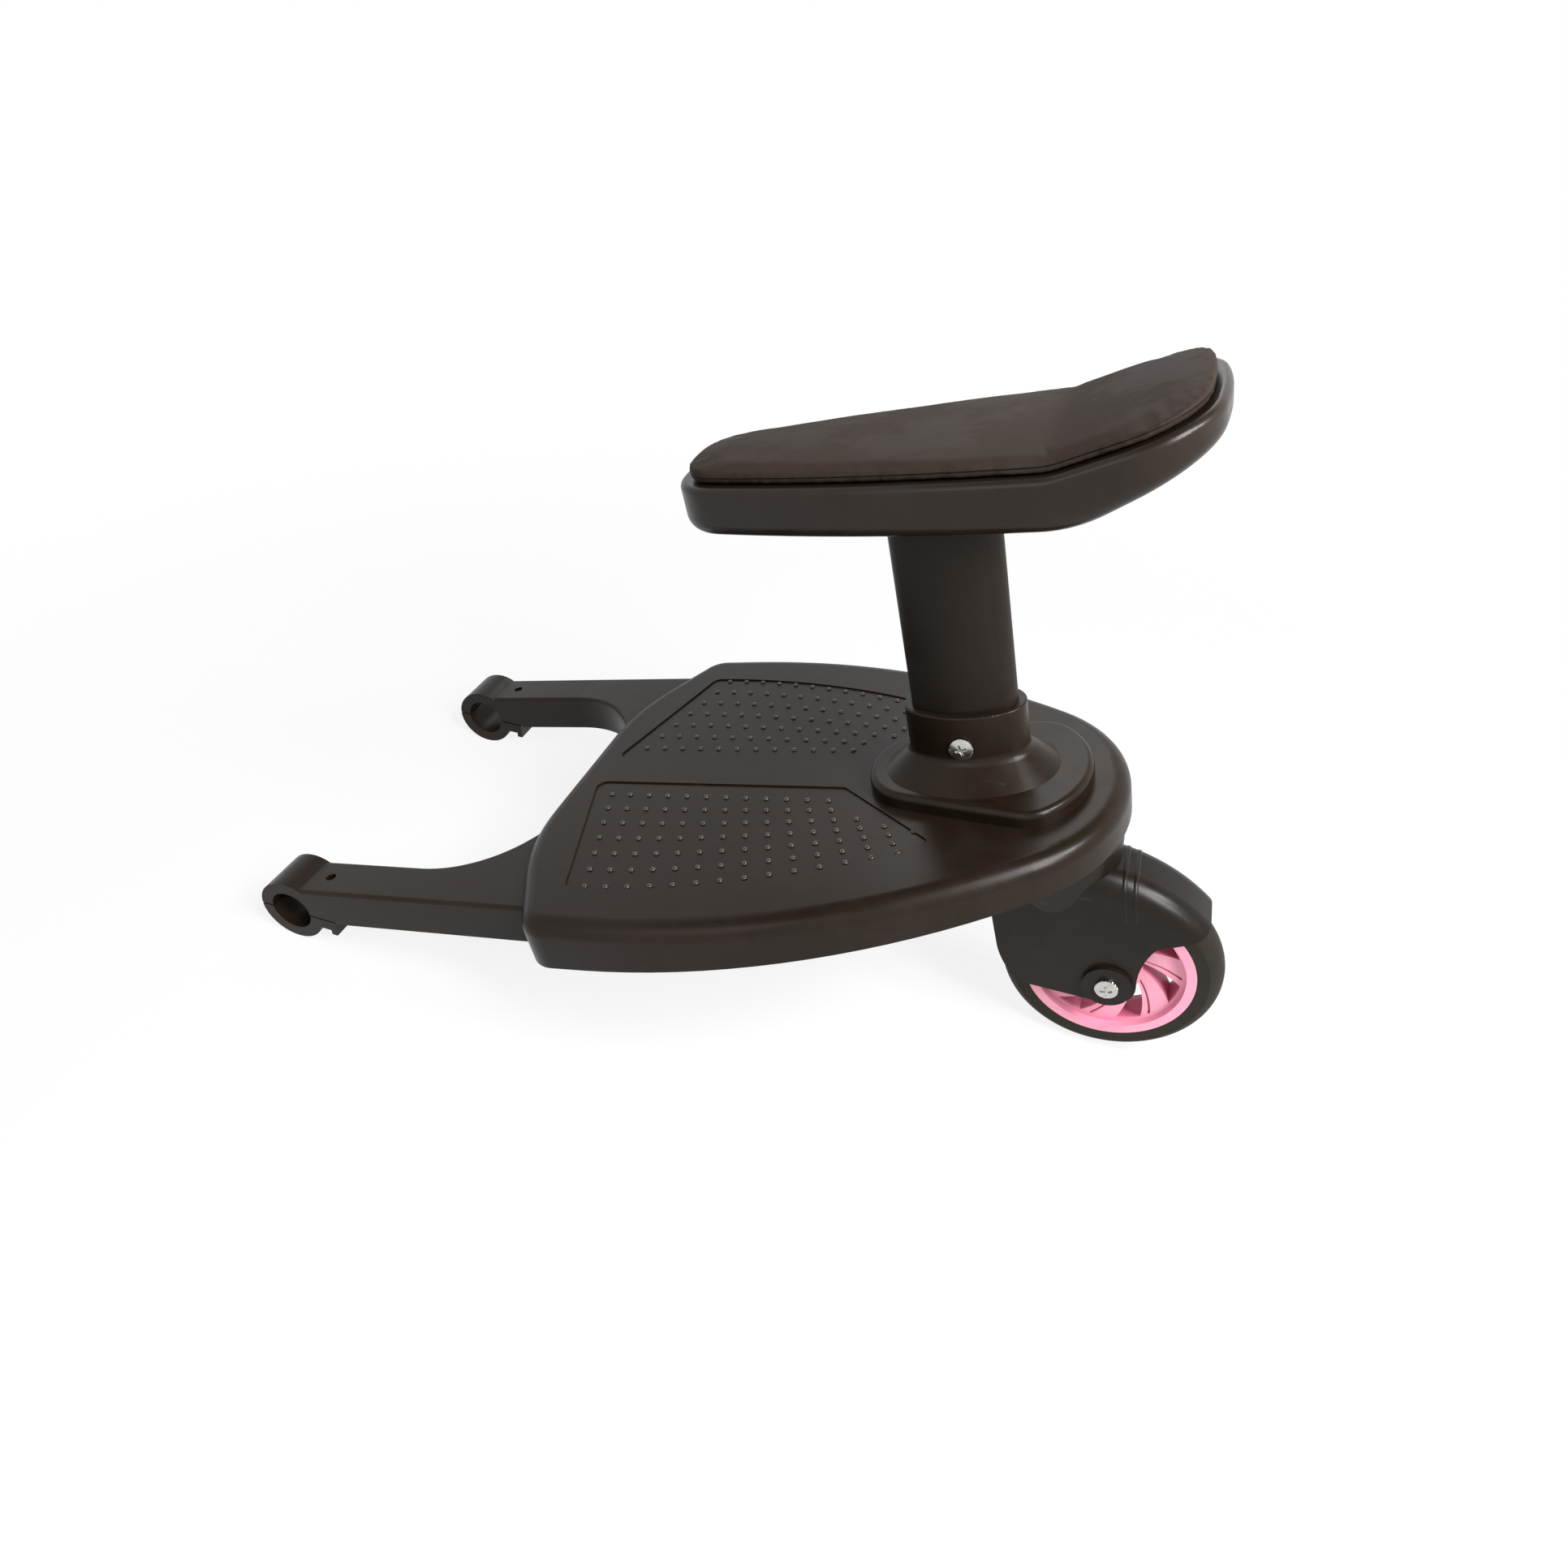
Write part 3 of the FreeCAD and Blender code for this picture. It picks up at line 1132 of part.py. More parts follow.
# Fork: round crown, two cheeks and the mudguard behind
def fork_outline():
    """Side outline of cheeks and mudguard, with room above for the domed back."""
    top = crown_top - crown_height
    low = Size(30)
    return [(fork_front, top), (fork_front_low, -fork_bend_drop, -fork_toe_radius),
            (fork_toe_x, -fork_toe_drop),
            (axle_x + dropout_radius * sine(low), axle_z - dropout_radius * cosine(low), -dropout_radius),
            (axle_x - dropout_radius, axle_z, guard_neck_radius), (-guard_neck_x, -guard_neck_drop),
            (-guard_hem_x, -guard_hem_drop, -guard_tip_radius),
            (-guard_tip_x, -guard_tip_drop), (-guard_tip_x, top)]


def guard_dome():
    """A round-edged disc whose rim is the mudguard's back."""
    body = new_body("GuardDome")
    sketch = sketch_on(body, "DomeOutline", "XY_Plane", -guard_centre_drop)
    flat = fork_half_width - guard_edge
    inner = guard_radius - guard_edge
    outline(sketch, [(Size(0), -fork_half_width), (inner, -fork_half_width, guard_edge),
                     (guard_radius, -flat), (guard_radius, flat, guard_edge),
                     (inner, fork_half_width), (Size(0), fork_half_width)])
    disc = body.newObject("PartDesign::Revolution", "Dome")
    disc.Profile = sketch
    disc.ReferenceAxis = (sketch, ["V_Axis"])
    disc.Angle = 360
    return body


def wheel_room():
    """Round-topped room for the wheel between the cheeks, open below."""
    body = new_body("WheelRoom")
    sketch = sketch_on(body, "RoomOutline", "XZ_Plane")
    room = tyre_radius + tyre_clear
    low = axle_z - room
    outline(sketch, [(axle_x + room, low), (axle_x + room, axle_z, room), (axle_x, axle_z + room, room),
                     (axle_x - room, axle_z), (axle_x - room, low)])
    pad(body, "Room", sketch, 2 * fork_gap_half, both=True)
    fillet(body, "RoomRounding", guard_edge - guard_wall, lambda edge: on_room_arc(edge))
    return body


def on_room_arc(edge):
    """True for the side edges along the top of the wheel's room."""
    box = edge.BoundBox
    return box.YLength < 1e-4 and box.ZMin > axle_z - 1e-4


def build_fork():
    """Cowled fork with its mudguard."""
    body = new_body("Fork")
    cheek = sketch_on(body, "CheekOutline", "XZ_Plane")
    outline(cheek, fork_outline())
    pad(body, "Cheeks", cheek, 2 * fork_half_width, both=True)
    cut_body(body, "GuardBack", guard_dome(), "Common")
    crown = sketch_on(body, "CrownOutline", "XY_Plane", crown_top)
    outline(crown, four_arcs(Size(0), crown_half_length, crown_half_width, crown_end_radius))
    pad(body, "Crown", crown, crown_height, reverse=True)
    upper = sketch_on(body, "BlendTopOutline", "XY_Plane", crown_top - crown_height)
    outline(upper, four_arcs(Size(0), crown_half_length, crown_half_width, crown_end_radius))
    lower = sketch_on(body, "BlendFootOutline", "XY_Plane", crown_top - crown_height - crown_blend)
    outline(lower, four_arcs(Size(0), crown_blend_length, fork_half_width, crown_blend_radius))
    blend = body.newObject("PartDesign::AdditiveLoft", "CrownBlend")
    blend.Profile = upper
    blend.Sections = [lower]
    cut_body(body, "Well", wheel_room())
    for name, side in SIDES.items():
        boss = sketch_on(body, f"AxleBossOutline_{name}", "XZ_Plane", -side * fork_half_width)
        circle(boss, axle_x, axle_z, axle_boss_radius)
        pad(body, f"AxleBoss_{name}", boss, axle_boss_height, reverse=side > 0)
    axle = sketch_on(body, "AxleHoleOutline", "XZ_Plane")
    circle(axle, axle_x, axle_z, axle_radius + bolt_play)
    pocket(body, "AxleHole", axle, both=True)
    stem = sketch_on(body, "StemHoleOutline", "XY_Plane", crown_top)
    circle(stem, Size(0), Size(0), stem_radius + bolt_play)
    pocket(body, "StemHole", stem)
    head = sketch_on(body, "StemHeadOutline", "XY_Plane", crown_top - stem_grip)
    circle(head, Size(0), Size(0), stem_head_radius + 2 * bolt_play)
    pocket(body, "StemHead", head)
    keep(body, "caster_fork")


# Wheel: swirl-spoked hub, tyre, bearings and axle
def swirl_outline(inner, outer, start, inner_angle, outer_angle):
    """A curved slot that sweeps round as it goes out."""
    def polar(radius, degrees):
        return radius * cosine(degrees), radius * sine(degrees)
    sweep = start + swirl_angle
    return [polar(inner, start) + (swirl_radius,), polar(outer, sweep) + (outer,),
            polar(outer, sweep + outer_angle) + (-swirl_radius,),
            polar(inner, start + inner_angle) + (-inner,)]


def repeat_round(body, name, feature):
    """Repeats a feature once for each spoke."""
    doc.recompute()
    pattern = body.newObject("PartDesign::PolarPattern", name)
    pattern.Originals = [feature]
    axis = [item for item in body.Origin.OriginFeatures if item.Role == "Y_Axis"][0]
    pattern.Axis = (axis, [""])
    pattern.Angle = 360
    pattern.setExpression("Occurrences", spoke_count.text)
    body.Tip = pattern
    doc.recompute()


def build_hub():
    """Hub with seven swirled spokes, grooved on both faces."""
    body = new_body("Hub")
    inner_half = hub_boss_half - bearing_width
    shoulder = bearing_radius - outer_ring
    rim_inner = rim_radius - rim_wall
    bead = rim_radius - bead_depth
    half = [(shoulder, inner_half), (bearing_radius, inner_half), (bearing_radius, hub_boss_half),
            (hub_boss_radius, hub_boss_half), (hub_boss_radius, web_half), (rim_inner, web_half),
            (rim_inner, rim_half_width), (rim_radius, rim_half_width), (rim_radius, bead_half_width),
            (bead, bead_half_width)]
    revolve(body, "HubTurn", half + [(x, -y) for x, y in reversed(half)])
    window = sketch_on(body, "WindowOutline", "XZ_Plane")
    outline(window, swirl_outline(window_inner, window_outer, window_phase, window_inner_angle,
                                  window_outer_angle))
    cut = pocket(body, "Window", window, both=True)
    repeat_round(body, "Windows", cut)
    for name, side in SIDES.items():
        groove = sketch_on(body, f"GrooveOutline_{name}", "XZ_Plane", -side * web_half)
        outline(groove, swirl_outline(window_inner, window_outer, window_phase - groove_offset,
                                      groove_inner_angle, groove_outer_angle))
        cut = pocket(body, f"Groove_{name}", groove, groove_depth, reverse=side > 0)
        repeat_round(body, f"Grooves_{name}", cut)
    keep(body, "wheel_hub", AT_AXLE)


def build_tyre():
    """Solid tyre with a rib that locks in the rim."""
    body = new_body("Tyre")
    shoulder = tyre_radius - tyre_shoulder
    crown = (tyre_half_width * tyre_half_width + tyre_shoulder * tyre_shoulder) / (2 * tyre_shoulder)
    bead = rim_radius - bead_depth
    half = [(bead, bead_half_width), (rim_radius, bead_half_width), (rim_radius, tyre_half_width),
            (shoulder, tyre_half_width)]
    lower = [(x, -y) for x, y in reversed(half)]
    half[-1] = (shoulder, tyre_half_width, -crown)
    revolve(body, "TyreTurn", half + lower)
    keep(body, "wheel_tyre", AT_AXLE)


def build_axle():
    """Bearing rings, spacers, axle bolt and nut."""
    bore = axle_radius + axle_play
    race = bore + inner_ring
    lip = race + shield_gap
    inner_half = hub_boss_half - bearing_width
    ends = [AT_AXLE.multiply(FreeCAD.Placement(Vector(0, inner_half, 0), FreeCAD.Rotation())),
            AT_AXLE.multiply(FreeCAD.Placement(Vector(0, -inner_half, 0), TURNED))]
    outer = new_body("OuterRingMaster")
    groove = bearing_radius - outer_ring
    far = bearing_width - shield_thickness
    revolve(outer, "OuterRing", [(lip, Size(0)), (bearing_radius, Size(0)), (bearing_radius, bearing_width),
                                 (lip, bearing_width), (lip, far), (groove, far),
                                 (groove, shield_thickness), (lip, shield_thickness)])
    group("OuterRings", "bearing_outer_rings", outer, ends)
    inner = new_body("InnerRingMaster")
    ring(inner, bore, race, Size(0), bearing_width)
    group("InnerRings", "bearing_inner_rings", inner, ends)
    spacer = new_body("SpacerMaster")
    ring(spacer, bore, race, bearing_width, bearing_width + fork_gap_half - hub_boss_half)
    group("Spacers", "axle_spacers", spacer, ends)
    sleeve = new_body("Sleeve")
    ring(sleeve, bore, bore + sleeve_wall, -inner_half, inner_half)
    keep(sleeve, "axle_sleeve", AT_AXLE)
    seat = fork_half_width + axle_boss_height
    bolt = new_body("AxleBolt")
    revolve(bolt, "Bolt", headed(axle_radius, 2 * seat + axle_nut_height + thread_end,
                                 axle_head_radius, axle_head_height))
    keep(bolt, "axle_bolt", FreeCAD.Placement(Vector(axle_x, seat, axle_z), TURNED))
    nut = hex_nut("AxleNut", axle_nut_flats, axle_nut_height, axle_radius + axle_play)
    keep(nut, "axle_nut", FreeCAD.Placement(Vector(axle_x, -seat, axle_z), TURNED))


build_deck()
build_clamps()
build_pedestal()
build_post()
build_pan()
build_pad()
build_swivel()
build_fork()
build_hub()
build_tyre()
build_axle()

doc.recompute()
faults = [item.Name for item in doc.Objects if "Invalid" in item.State or "Error" in item.State]
faults += [item.Label for item in sub_parts if item.Shape.isNull() or not item.Shape.isValid()]
if faults:
    raise RuntimeError(f"failed: {faults}")
os.makedirs("parts", exist_ok=True)
for item in sub_parts:
    item.Shape.exportStep(f"parts/{item.Label}.step")
    print(item.Label, len(item.Shape.Solids), round(item.Shape.Volume / 1000, 2))
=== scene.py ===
"""Looks of a ride-on buggy board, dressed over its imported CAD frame."""

import json
import logging
import math
from abc import ABC, abstractmethod
from dataclasses import dataclass
from enum import Enum
from typing import Callable, Iterable

import bpy
from mathutils import Matrix, Vector


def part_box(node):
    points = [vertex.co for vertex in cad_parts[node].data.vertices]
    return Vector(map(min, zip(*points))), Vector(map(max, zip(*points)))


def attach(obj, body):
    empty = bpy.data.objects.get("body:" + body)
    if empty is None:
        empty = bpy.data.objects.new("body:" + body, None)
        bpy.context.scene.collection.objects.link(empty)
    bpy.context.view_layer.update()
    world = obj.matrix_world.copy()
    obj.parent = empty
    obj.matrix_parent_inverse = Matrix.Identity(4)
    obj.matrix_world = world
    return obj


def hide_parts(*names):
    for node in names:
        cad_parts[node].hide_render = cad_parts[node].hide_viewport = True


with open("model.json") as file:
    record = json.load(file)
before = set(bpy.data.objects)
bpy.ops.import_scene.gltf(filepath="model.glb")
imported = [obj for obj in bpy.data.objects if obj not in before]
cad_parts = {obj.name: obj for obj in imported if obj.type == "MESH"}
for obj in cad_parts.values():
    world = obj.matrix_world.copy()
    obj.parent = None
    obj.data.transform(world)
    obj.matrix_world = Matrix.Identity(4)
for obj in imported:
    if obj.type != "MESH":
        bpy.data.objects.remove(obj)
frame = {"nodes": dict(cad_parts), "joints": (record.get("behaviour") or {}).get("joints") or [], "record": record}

LOG = logging.getLogger("buggy_board")
MM = 0.001
MERGE_M = 0.00001
PAD_HEIGHT = "pad_height"
Colour = tuple[float, float, float]
Point = tuple[float, float, float]
Span = tuple[float, float]
Socket = bpy.types.NodeSocket


class Slot(Enum):
    """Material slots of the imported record."""

    BOARD = "board_plastic"
    POST = "post_plastic"
    PAN = "pan_plastic"
    PAD = "pad_cover"
    FORK = "fork_plastic"
    HUB = "hub_plastic"
    TYRE = "tyre_rubber"
    BUSH = "bush_nylon"
    ZINC = "zinc_steel"
    BEARING = "bearing_steel"


class Body(Enum):
    """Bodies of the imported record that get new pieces."""

    BOARD = "board"
    CASTER = "caster"


@dataclass(frozen=True)
class BoardSpace:
    """The level board's own frame, in millimetres from the swivel axis at the arm tops."""

    origin: Vector
    lean: float

    @classmethod
    def from_record(cls) -> "BoardSpace":
        """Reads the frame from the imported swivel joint.

        Returns:
            The board's frame.
        """
        swivel = next(j for j in frame["joints"] if j["name"] == "caster_swivel")
        axis = swivel["axis"]
        return cls(Vector(swivel["pos_m"]), math.atan2(axis[0], axis[2]))

    def matrix(self) -> Matrix:
        """Matrix from the board's millimetres to the scene's metres."""
        turn = Matrix.Rotation(self.lean, 4, "Y")
        return Matrix.Translation(self.origin) @ turn @ Matrix.Scale(MM, 4)

    def place(self, x: float, y: float, z: float) -> Vector:
        """A point of the board in the scene.

        Args:
            x: Millimetres ahead of the swivel axis.
            y: Millimetres to the left.
            z: Millimetres above the arm tops.

        Returns:
            The point in metres.
        """
        return self.matrix() @ Vector((x, y, z))

    def aim(self, direction: Point) -> Vector:
        """A direction of the board in the scene."""
        return Matrix.Rotation(self.lean, 3, "Y") @ Vector(direction)


def pick_only(piece: bpy.types.Object) -> None:
    """Selects one object and makes it active.

    Args:
        piece: The object.
    """
    bpy.ops.object.select_all(action="DESELECT")
    piece.select_set(True)
    bpy.context.view_layer.objects.active = piece


def apply_modifiers(piece: bpy.types.Object) -> None:
    """Applies every modifier of a piece in order.

    Args:
        piece: The object.
    """
    pick_only(piece)
    for modifier in list(piece.modifiers):
        bpy.ops.object.modifier_apply(modifier=modifier.name)


def combine(piece: bpy.types.Object, tool: bpy.types.Object, operation: str) -> None:
    """Joins or cuts a piece with another, which is then removed.

    Args:
        piece: The object that stays.
        tool: The object that is used up.
        operation: The Boolean modifier's operation.
    """
    modifier = piece.modifiers.new("Combine", "BOOLEAN")
    modifier.operation = operation
    modifier.solver = "EXACT"
    modifier.object = tool
    apply_modifiers(piece)
    bpy.data.objects.remove(tool)


def in_edit_mode(piece: bpy.types.Object, work: Callable[[], None]) -> None:
    """Runs edit-mode operators on all of a piece.

    Args:
        piece: The object to edit.
        work: The operators, which find the whole mesh selected.
    """
    pick_only(piece)
    bpy.ops.object.mode_set(mode="EDIT")
    bpy.ops.mesh.select_all(action="SELECT")
    work()
    bpy.ops.object.mode_set(mode="OBJECT")


def merged_copy(node: str, name: str) -> bpy.types.Object:
    """A copy of a CAD node's mesh with its loose triangles joined.

    Args:
        node: The CAD node.
        name: Name of the copy.

    Returns:
        The new object.
    """
    piece = bpy.data.objects.new(name, frame["nodes"][node].data.copy())
    bpy.context.scene.collection.objects.link(piece)
    in_edit_mode(piece, lambda: bpy.ops.mesh.remove_doubles(threshold=MERGE_M))
    return piece


def join(pieces: list[bpy.types.Object], name: str) -> bpy.types.Object:
    """Joins several objects into the first.

    Args:
        pieces: The objects.
        name: Name of the result.

    Returns:
        The joined object.
    """
    pick_only(pieces[0])
    for piece in pieces:
        piece.select_set(True)
    bpy.ops.object.join()
    pieces[0].name = name
    return pieces[0]


def settle(piece: bpy.types.Object) -> None:
    """Puts a piece's place into its mesh."""
    pick_only(piece)
    bpy.ops.object.transform_apply(location=True, rotation=True, scale=True)


def smooth(piece: bpy.types.Object, degrees: float) -> None:
    """Smooths a piece's shading, apart from its sharp edges."""
    pick_only(piece)
    bpy.ops.object.shade_smooth_by_angle(angle=math.radians(degrees))


def hand_over(piece: bpy.types.Object, body: Body,
              material: bpy.types.Material) -> None:
    """Gives a new piece its body and its finish.

    Args:
        piece: The finished object.
        body: The body that it moves with.
        material: Its finish.
    """
    piece.data.materials.clear()
    piece.data.materials.append(material)
    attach(piece, body.value)
    LOG.info("%s: %d faces on %s", piece.name, len(piece.data.polygons), body.value)


class Nodes:
    """Short calls for one shader node tree."""

    def __init__(self, tree: bpy.types.NodeTree) -> None:
        """Keeps the tree.

        Args:
            tree: The material's, the world's or a group's tree.
        """
        self.tree = tree

    @classmethod
    def fresh(cls, owner: bpy.types.ID) -> "Nodes":
        """Empty nodes of a new material or world.

        Args:
            owner: The material or the world.

        Returns:
            Its nodes.
        """
        owner.use_nodes = True
        owner.node_tree.nodes.clear()
        return cls(owner.node_tree)

    def add(self, kind: str, **settings: object) -> bpy.types.Node:
        """Adds a node and sets its properties.

        Args:
            kind: The node's type.
            **settings: Its properties.

        Returns:
            The node.
        """
        node = self.tree.nodes.new(kind)
        for name, value in settings.items():
            setattr(node, name, value)
        return node

    def feed(self, socket: Socket, source: object) -> None:
        """Links a socket to another, or sets its value.

        Args:
            socket: The input.
            source: Another node's output, a colour or a value.
        """
        if isinstance(source, Socket):
            self.tree.links.new(source, socket)
        elif isinstance(source, tuple) and len(source) == 3 and socket.type == "RGBA":
            socket.default_value = (*source, 1.0)
        else:
            socket.default_value = source

    def math(self, operation: str, first: object, second: object = 0.0,
             clamp: bool = False) -> Socket:
        """One sum of two values.

        Args:
            operation: The Math node's operation.
            first: Its first value or socket.
            second: Its second value or socket.
            clamp: Whether the result stays from 0 to 1.

        Returns:
            The result's socket.
        """
        node = self.add("ShaderNodeMath", operation=operation, use_clamp=clamp)
        self.feed(node.inputs[0], first)
        self.feed(node.inputs[1], second)
        return node.outputs[0]

    def weigh(self, first: Socket, second: Socket, shares: Span) -> Socket:
        """Adds two values by their shares.

        Args:
            first: First value.
            second: Second value.
            shares: Share of each.

        Returns:
            The sum's socket.
        """
        return self.math("ADD", self.math("MULTIPLY", first, shares[0]),
                         self.math("MULTIPLY", second, shares[1]))

    def span(self, value: Socket, source: Span, target: Span = (0.0, 1.0)) -> Socket:
        """Maps a value smoothly from one range to another.

        Args:
            value: The value's socket.
            source: Its range.
            target: Results at the ends of that range.

        Returns:
            The result's socket.
        """
        node = self.add("ShaderNodeMapRange", interpolation_type="SMOOTHSTEP")
        self.feed(node.inputs["Value"], value)
        for name, amount in zip(("From Min", "From Max", "To Min", "To Max"), source + target):
            node.inputs[name].default_value = amount
        return node.outputs["Result"]

    def mix(self, share: object, first: object, second: object) -> Socket:
        """Mixes two colours.

        Args:
            share: Share of the second colour.
            first: First colour or socket.
            second: Second colour or socket.

        Returns:
            The mixed colour's socket.
        """
        node = self.add("ShaderNodeMix", data_type="RGBA")
        self.feed(node.inputs[0], share)
        self.feed(node.inputs[6], first)
        self.feed(node.inputs[7], second)
        return node.outputs[2]

    def noise(self, vector: Socket, scale: object, detail: float, roughness: float = 0.5) -> Socket:
        """A noise value.

        Args:
            vector: Where it is read.
            scale: Its scale per metre.
            detail: Its octaves.
            roughness: Weight of the fine octaves.

        Returns:
            The value's socket.
        """
        node = self.add("ShaderNodeTexNoise")
        self.feed(node.inputs["Vector"], vector)
        self.feed(node.inputs["Scale"], scale)
        node.inputs["Detail"].default_value = detail
        node.inputs["Roughness"].default_value = roughness
        return node.outputs["Fac"]

    def group(self, tree: bpy.types.NodeTree, **inputs: object) -> bpy.types.Node:
        """Places a shared effect with its own values.

        Args:
            tree: The effect.
            **inputs: Its inputs by name.

        Returns:
            The group's node.
        """
        node = self.add("ShaderNodeGroup", node_tree=tree)
        for name, value in inputs.items():
            self.feed(node.inputs[name], value)
        return node


class Effects:
    """Shader node groups that several finishes share."""

    DRIFT_FINER = 7.0
    DRIFT_SHARES = (0.7, 0.3)
    DRIFT_BAND = (0.36, 0.64)
    GRAIN_FINER = 1.7
    GRAIN_SHARES = (0.6, 0.4)
    SCRATCH_TURN = (0.4, 0.3, 0.9)
    SCRATCH_STRETCH = (1.0, 9.0, 3.0)
    SCRATCH_BAND = (0.60, 0.74)
    PATCH_COARSER = 0.35
    PATCH_BAND = (0.48, 0.66)

    def __init__(self) -> None:
        """Builds each group once."""
        self.drift = self._drift()
        self.grain = self._grain()
        self.scuffs = self._scuffs()

    @staticmethod
    def _new(name: str, inputs: Iterable[tuple[str, str]],
             outputs: Iterable[tuple[str, str]]) -> tuple:
        """An empty group.

        Args:
            name: Name of the group.
            inputs: Names and kinds of its inputs.
            outputs: Names and kinds of its outputs.

        Returns:
            The group, its nodes, the input node's sockets and the output node's sockets.
        """
        tree = bpy.data.node_groups.new(name, "ShaderNodeTree")
        for side, rows in (("INPUT", inputs), ("OUTPUT", outputs)):
            for label, kind in rows:
                tree.interface.new_socket(name=label, in_out=side, socket_type=f"NodeSocket{kind}")
        nodes = Nodes(tree)
        given = nodes.add("NodeGroupInput").outputs
        return tree, nodes, given, nodes.add("NodeGroupOutput").inputs

    def _drift(self) -> bpy.types.NodeTree:
        """Slow change between two colours, with its blend value.

        Returns:
            The group.
        """
        tree, nodes, given, result = self._new(
            "colour_drift",
            (("Vector", "Vector"), ("First", "Color"), ("Second", "Color"), ("Scale", "Float")),
            (("Colour", "Color"), ("Blend", "Float")))
        wide = nodes.noise(given["Vector"], given["Scale"], detail=3.0)
        finer = nodes.math("MULTIPLY", given["Scale"], self.DRIFT_FINER)
        fine = nodes.noise(given["Vector"], finer, detail=4.0)
        blend = nodes.span(nodes.weigh(wide, fine, self.DRIFT_SHARES), self.DRIFT_BAND)
        nodes.feed(result["Blend"], blend)
        nodes.feed(result["Colour"], nodes.mix(blend, given["First"], given["Second"]))
        return tree

    def _grain(self) -> bpy.types.NodeTree:
        """Height of a fine moulded grain.

        Returns:
            The group.
        """
        tree, nodes, given, result = self._new(
            "moulded_grain", (("Vector", "Vector"), ("Scale", "Float")), (("Height", "Float"),))
        cells = nodes.add("ShaderNodeTexVoronoi", feature="SMOOTH_F1")
        nodes.feed(cells.inputs["Vector"], given["Vector"])
        nodes.feed(cells.inputs["Scale"], given["Scale"])
        finer = nodes.math("MULTIPLY", given["Scale"], self.GRAIN_FINER)
        fine = nodes.noise(given["Vector"], finer, detail=2.0)
        nodes.feed(result["Height"],
                   nodes.weigh(cells.outputs["Distance"], fine, self.GRAIN_SHARES))
        return tree

    def _scuffs(self) -> bpy.types.NodeTree:
        """Mask of faint rubbed patches and short scratches.

        Returns:
            The group.
        """
        tree, nodes, given, result = self._new(
            "rub_marks", (("Vector", "Vector"), ("Scale", "Float")), (("Mask", "Float"),))
        stretch = nodes.add("ShaderNodeMapping")
        nodes.feed(stretch.inputs["Vector"], given["Vector"])
        stretch.inputs["Rotation"].default_value = self.SCRATCH_TURN
        stretch.inputs["Scale"].default_value = self.SCRATCH_STRETCH
        drawn = nodes.noise(stretch.outputs["Vector"], given["Scale"], detail=5.0, roughness=0.6)
        lines = nodes.span(drawn, self.SCRATCH_BAND)
        coarser = nodes.math("MULTIPLY", given["Scale"], self.PATCH_COARSER)
        patches = nodes.span(nodes.noise(given["Vector"], coarser, detail=3.0), self.PATCH_BAND)
        nodes.feed(result["Mask"], nodes.math("MULTIPLY", lines, patches))
        return tree


@dataclass(frozen=True)
class Finish:
    """A moulded, rubber or metal surface."""

    name: str
    base: Colour
    second: Colour
    roughness: Span
    grain_per_m: float
    grain_mm: float
    drift_per_m: float = 14.0
    rubbed: Colour = (0.2, 0.19, 0.18)
    rub_share: float = 0.0
    rub_per_m: float = 60.0
    rub_rough: float = 0.25
    bump_strength: float = 0.5
    metallic: float = 0.0
    specular: float = 0.5

    def colour(self, nodes: Nodes, where: Socket, drift: bpy.types.Node) -> Socket:
        """Base colour before rub marks.

        Args:
            nodes: The material's nodes.
            where: Object coordinates.
            drift: The colour drift.

        Returns:
            The colour's socket.
        """
        return drift.outputs["Colour"]

    def height(self, nodes: Nodes, where: Socket, effects: Effects) -> Socket:
        """Height that the bump reads.

        Args:
            nodes: The material's nodes.
            where: Object coordinates.
            effects: Shared effects.

        Returns:
            The height's socket.
        """
        return nodes.group(effects.grain, Vector=where, Scale=self.grain_per_m).outputs["Height"]

    def material(self, effects: Effects) -> bpy.types.Material:
        """Builds the material.

        Args:
            effects: Shared effects.

        Returns:
            The material.
        """
        made = bpy.data.materials.new(self.name)
        nodes = Nodes.fresh(made)
        shader = nodes.add("ShaderNodeBsdfPrincipled")
        out = nodes.add("ShaderNodeOutputMaterial")
        nodes.feed(out.inputs["Surface"], shader.outputs["BSDF"])
        where = nodes.add("ShaderNodeTexCoord").outputs["Object"]
        drift = nodes.group(effects.drift, Vector=where, First=self.base, Second=self.second,
                            Scale=self.drift_per_m)
        marks = nodes.group(effects.scuffs, Vector=where, Scale=self.rub_per_m).outputs["Mask"]
        rub = nodes.math("MULTIPLY", marks, self.rub_share)
        colour = nodes.mix(rub, self.colour(nodes, where, drift), self.rubbed)
        nodes.feed(shader.inputs["Base Color"], colour)
        plain = nodes.span(drift.outputs["Blend"], (0.0, 1.0), self.roughness)
        rough = nodes.math("ADD", plain, nodes.math("MULTIPLY", rub, self.rub_rough), clamp=True)
        nodes.feed(shader.inputs["Roughness"], rough)
        bump = nodes.add("ShaderNodeBump")
        bump.inputs["Strength"].default_value = self.bump_strength
        bump.inputs["Distance"].default_value = self.grain_mm * MM
        nodes.feed(bump.inputs["Height"], self.height(nodes, where, effects))
        nodes.feed(shader.inputs["Normal"], bump.outputs["Normal"])
        shader.inputs["Metallic"].default_value = self.metallic
        shader.inputs["Specular IOR Level"].default_value = self.specular
        return made


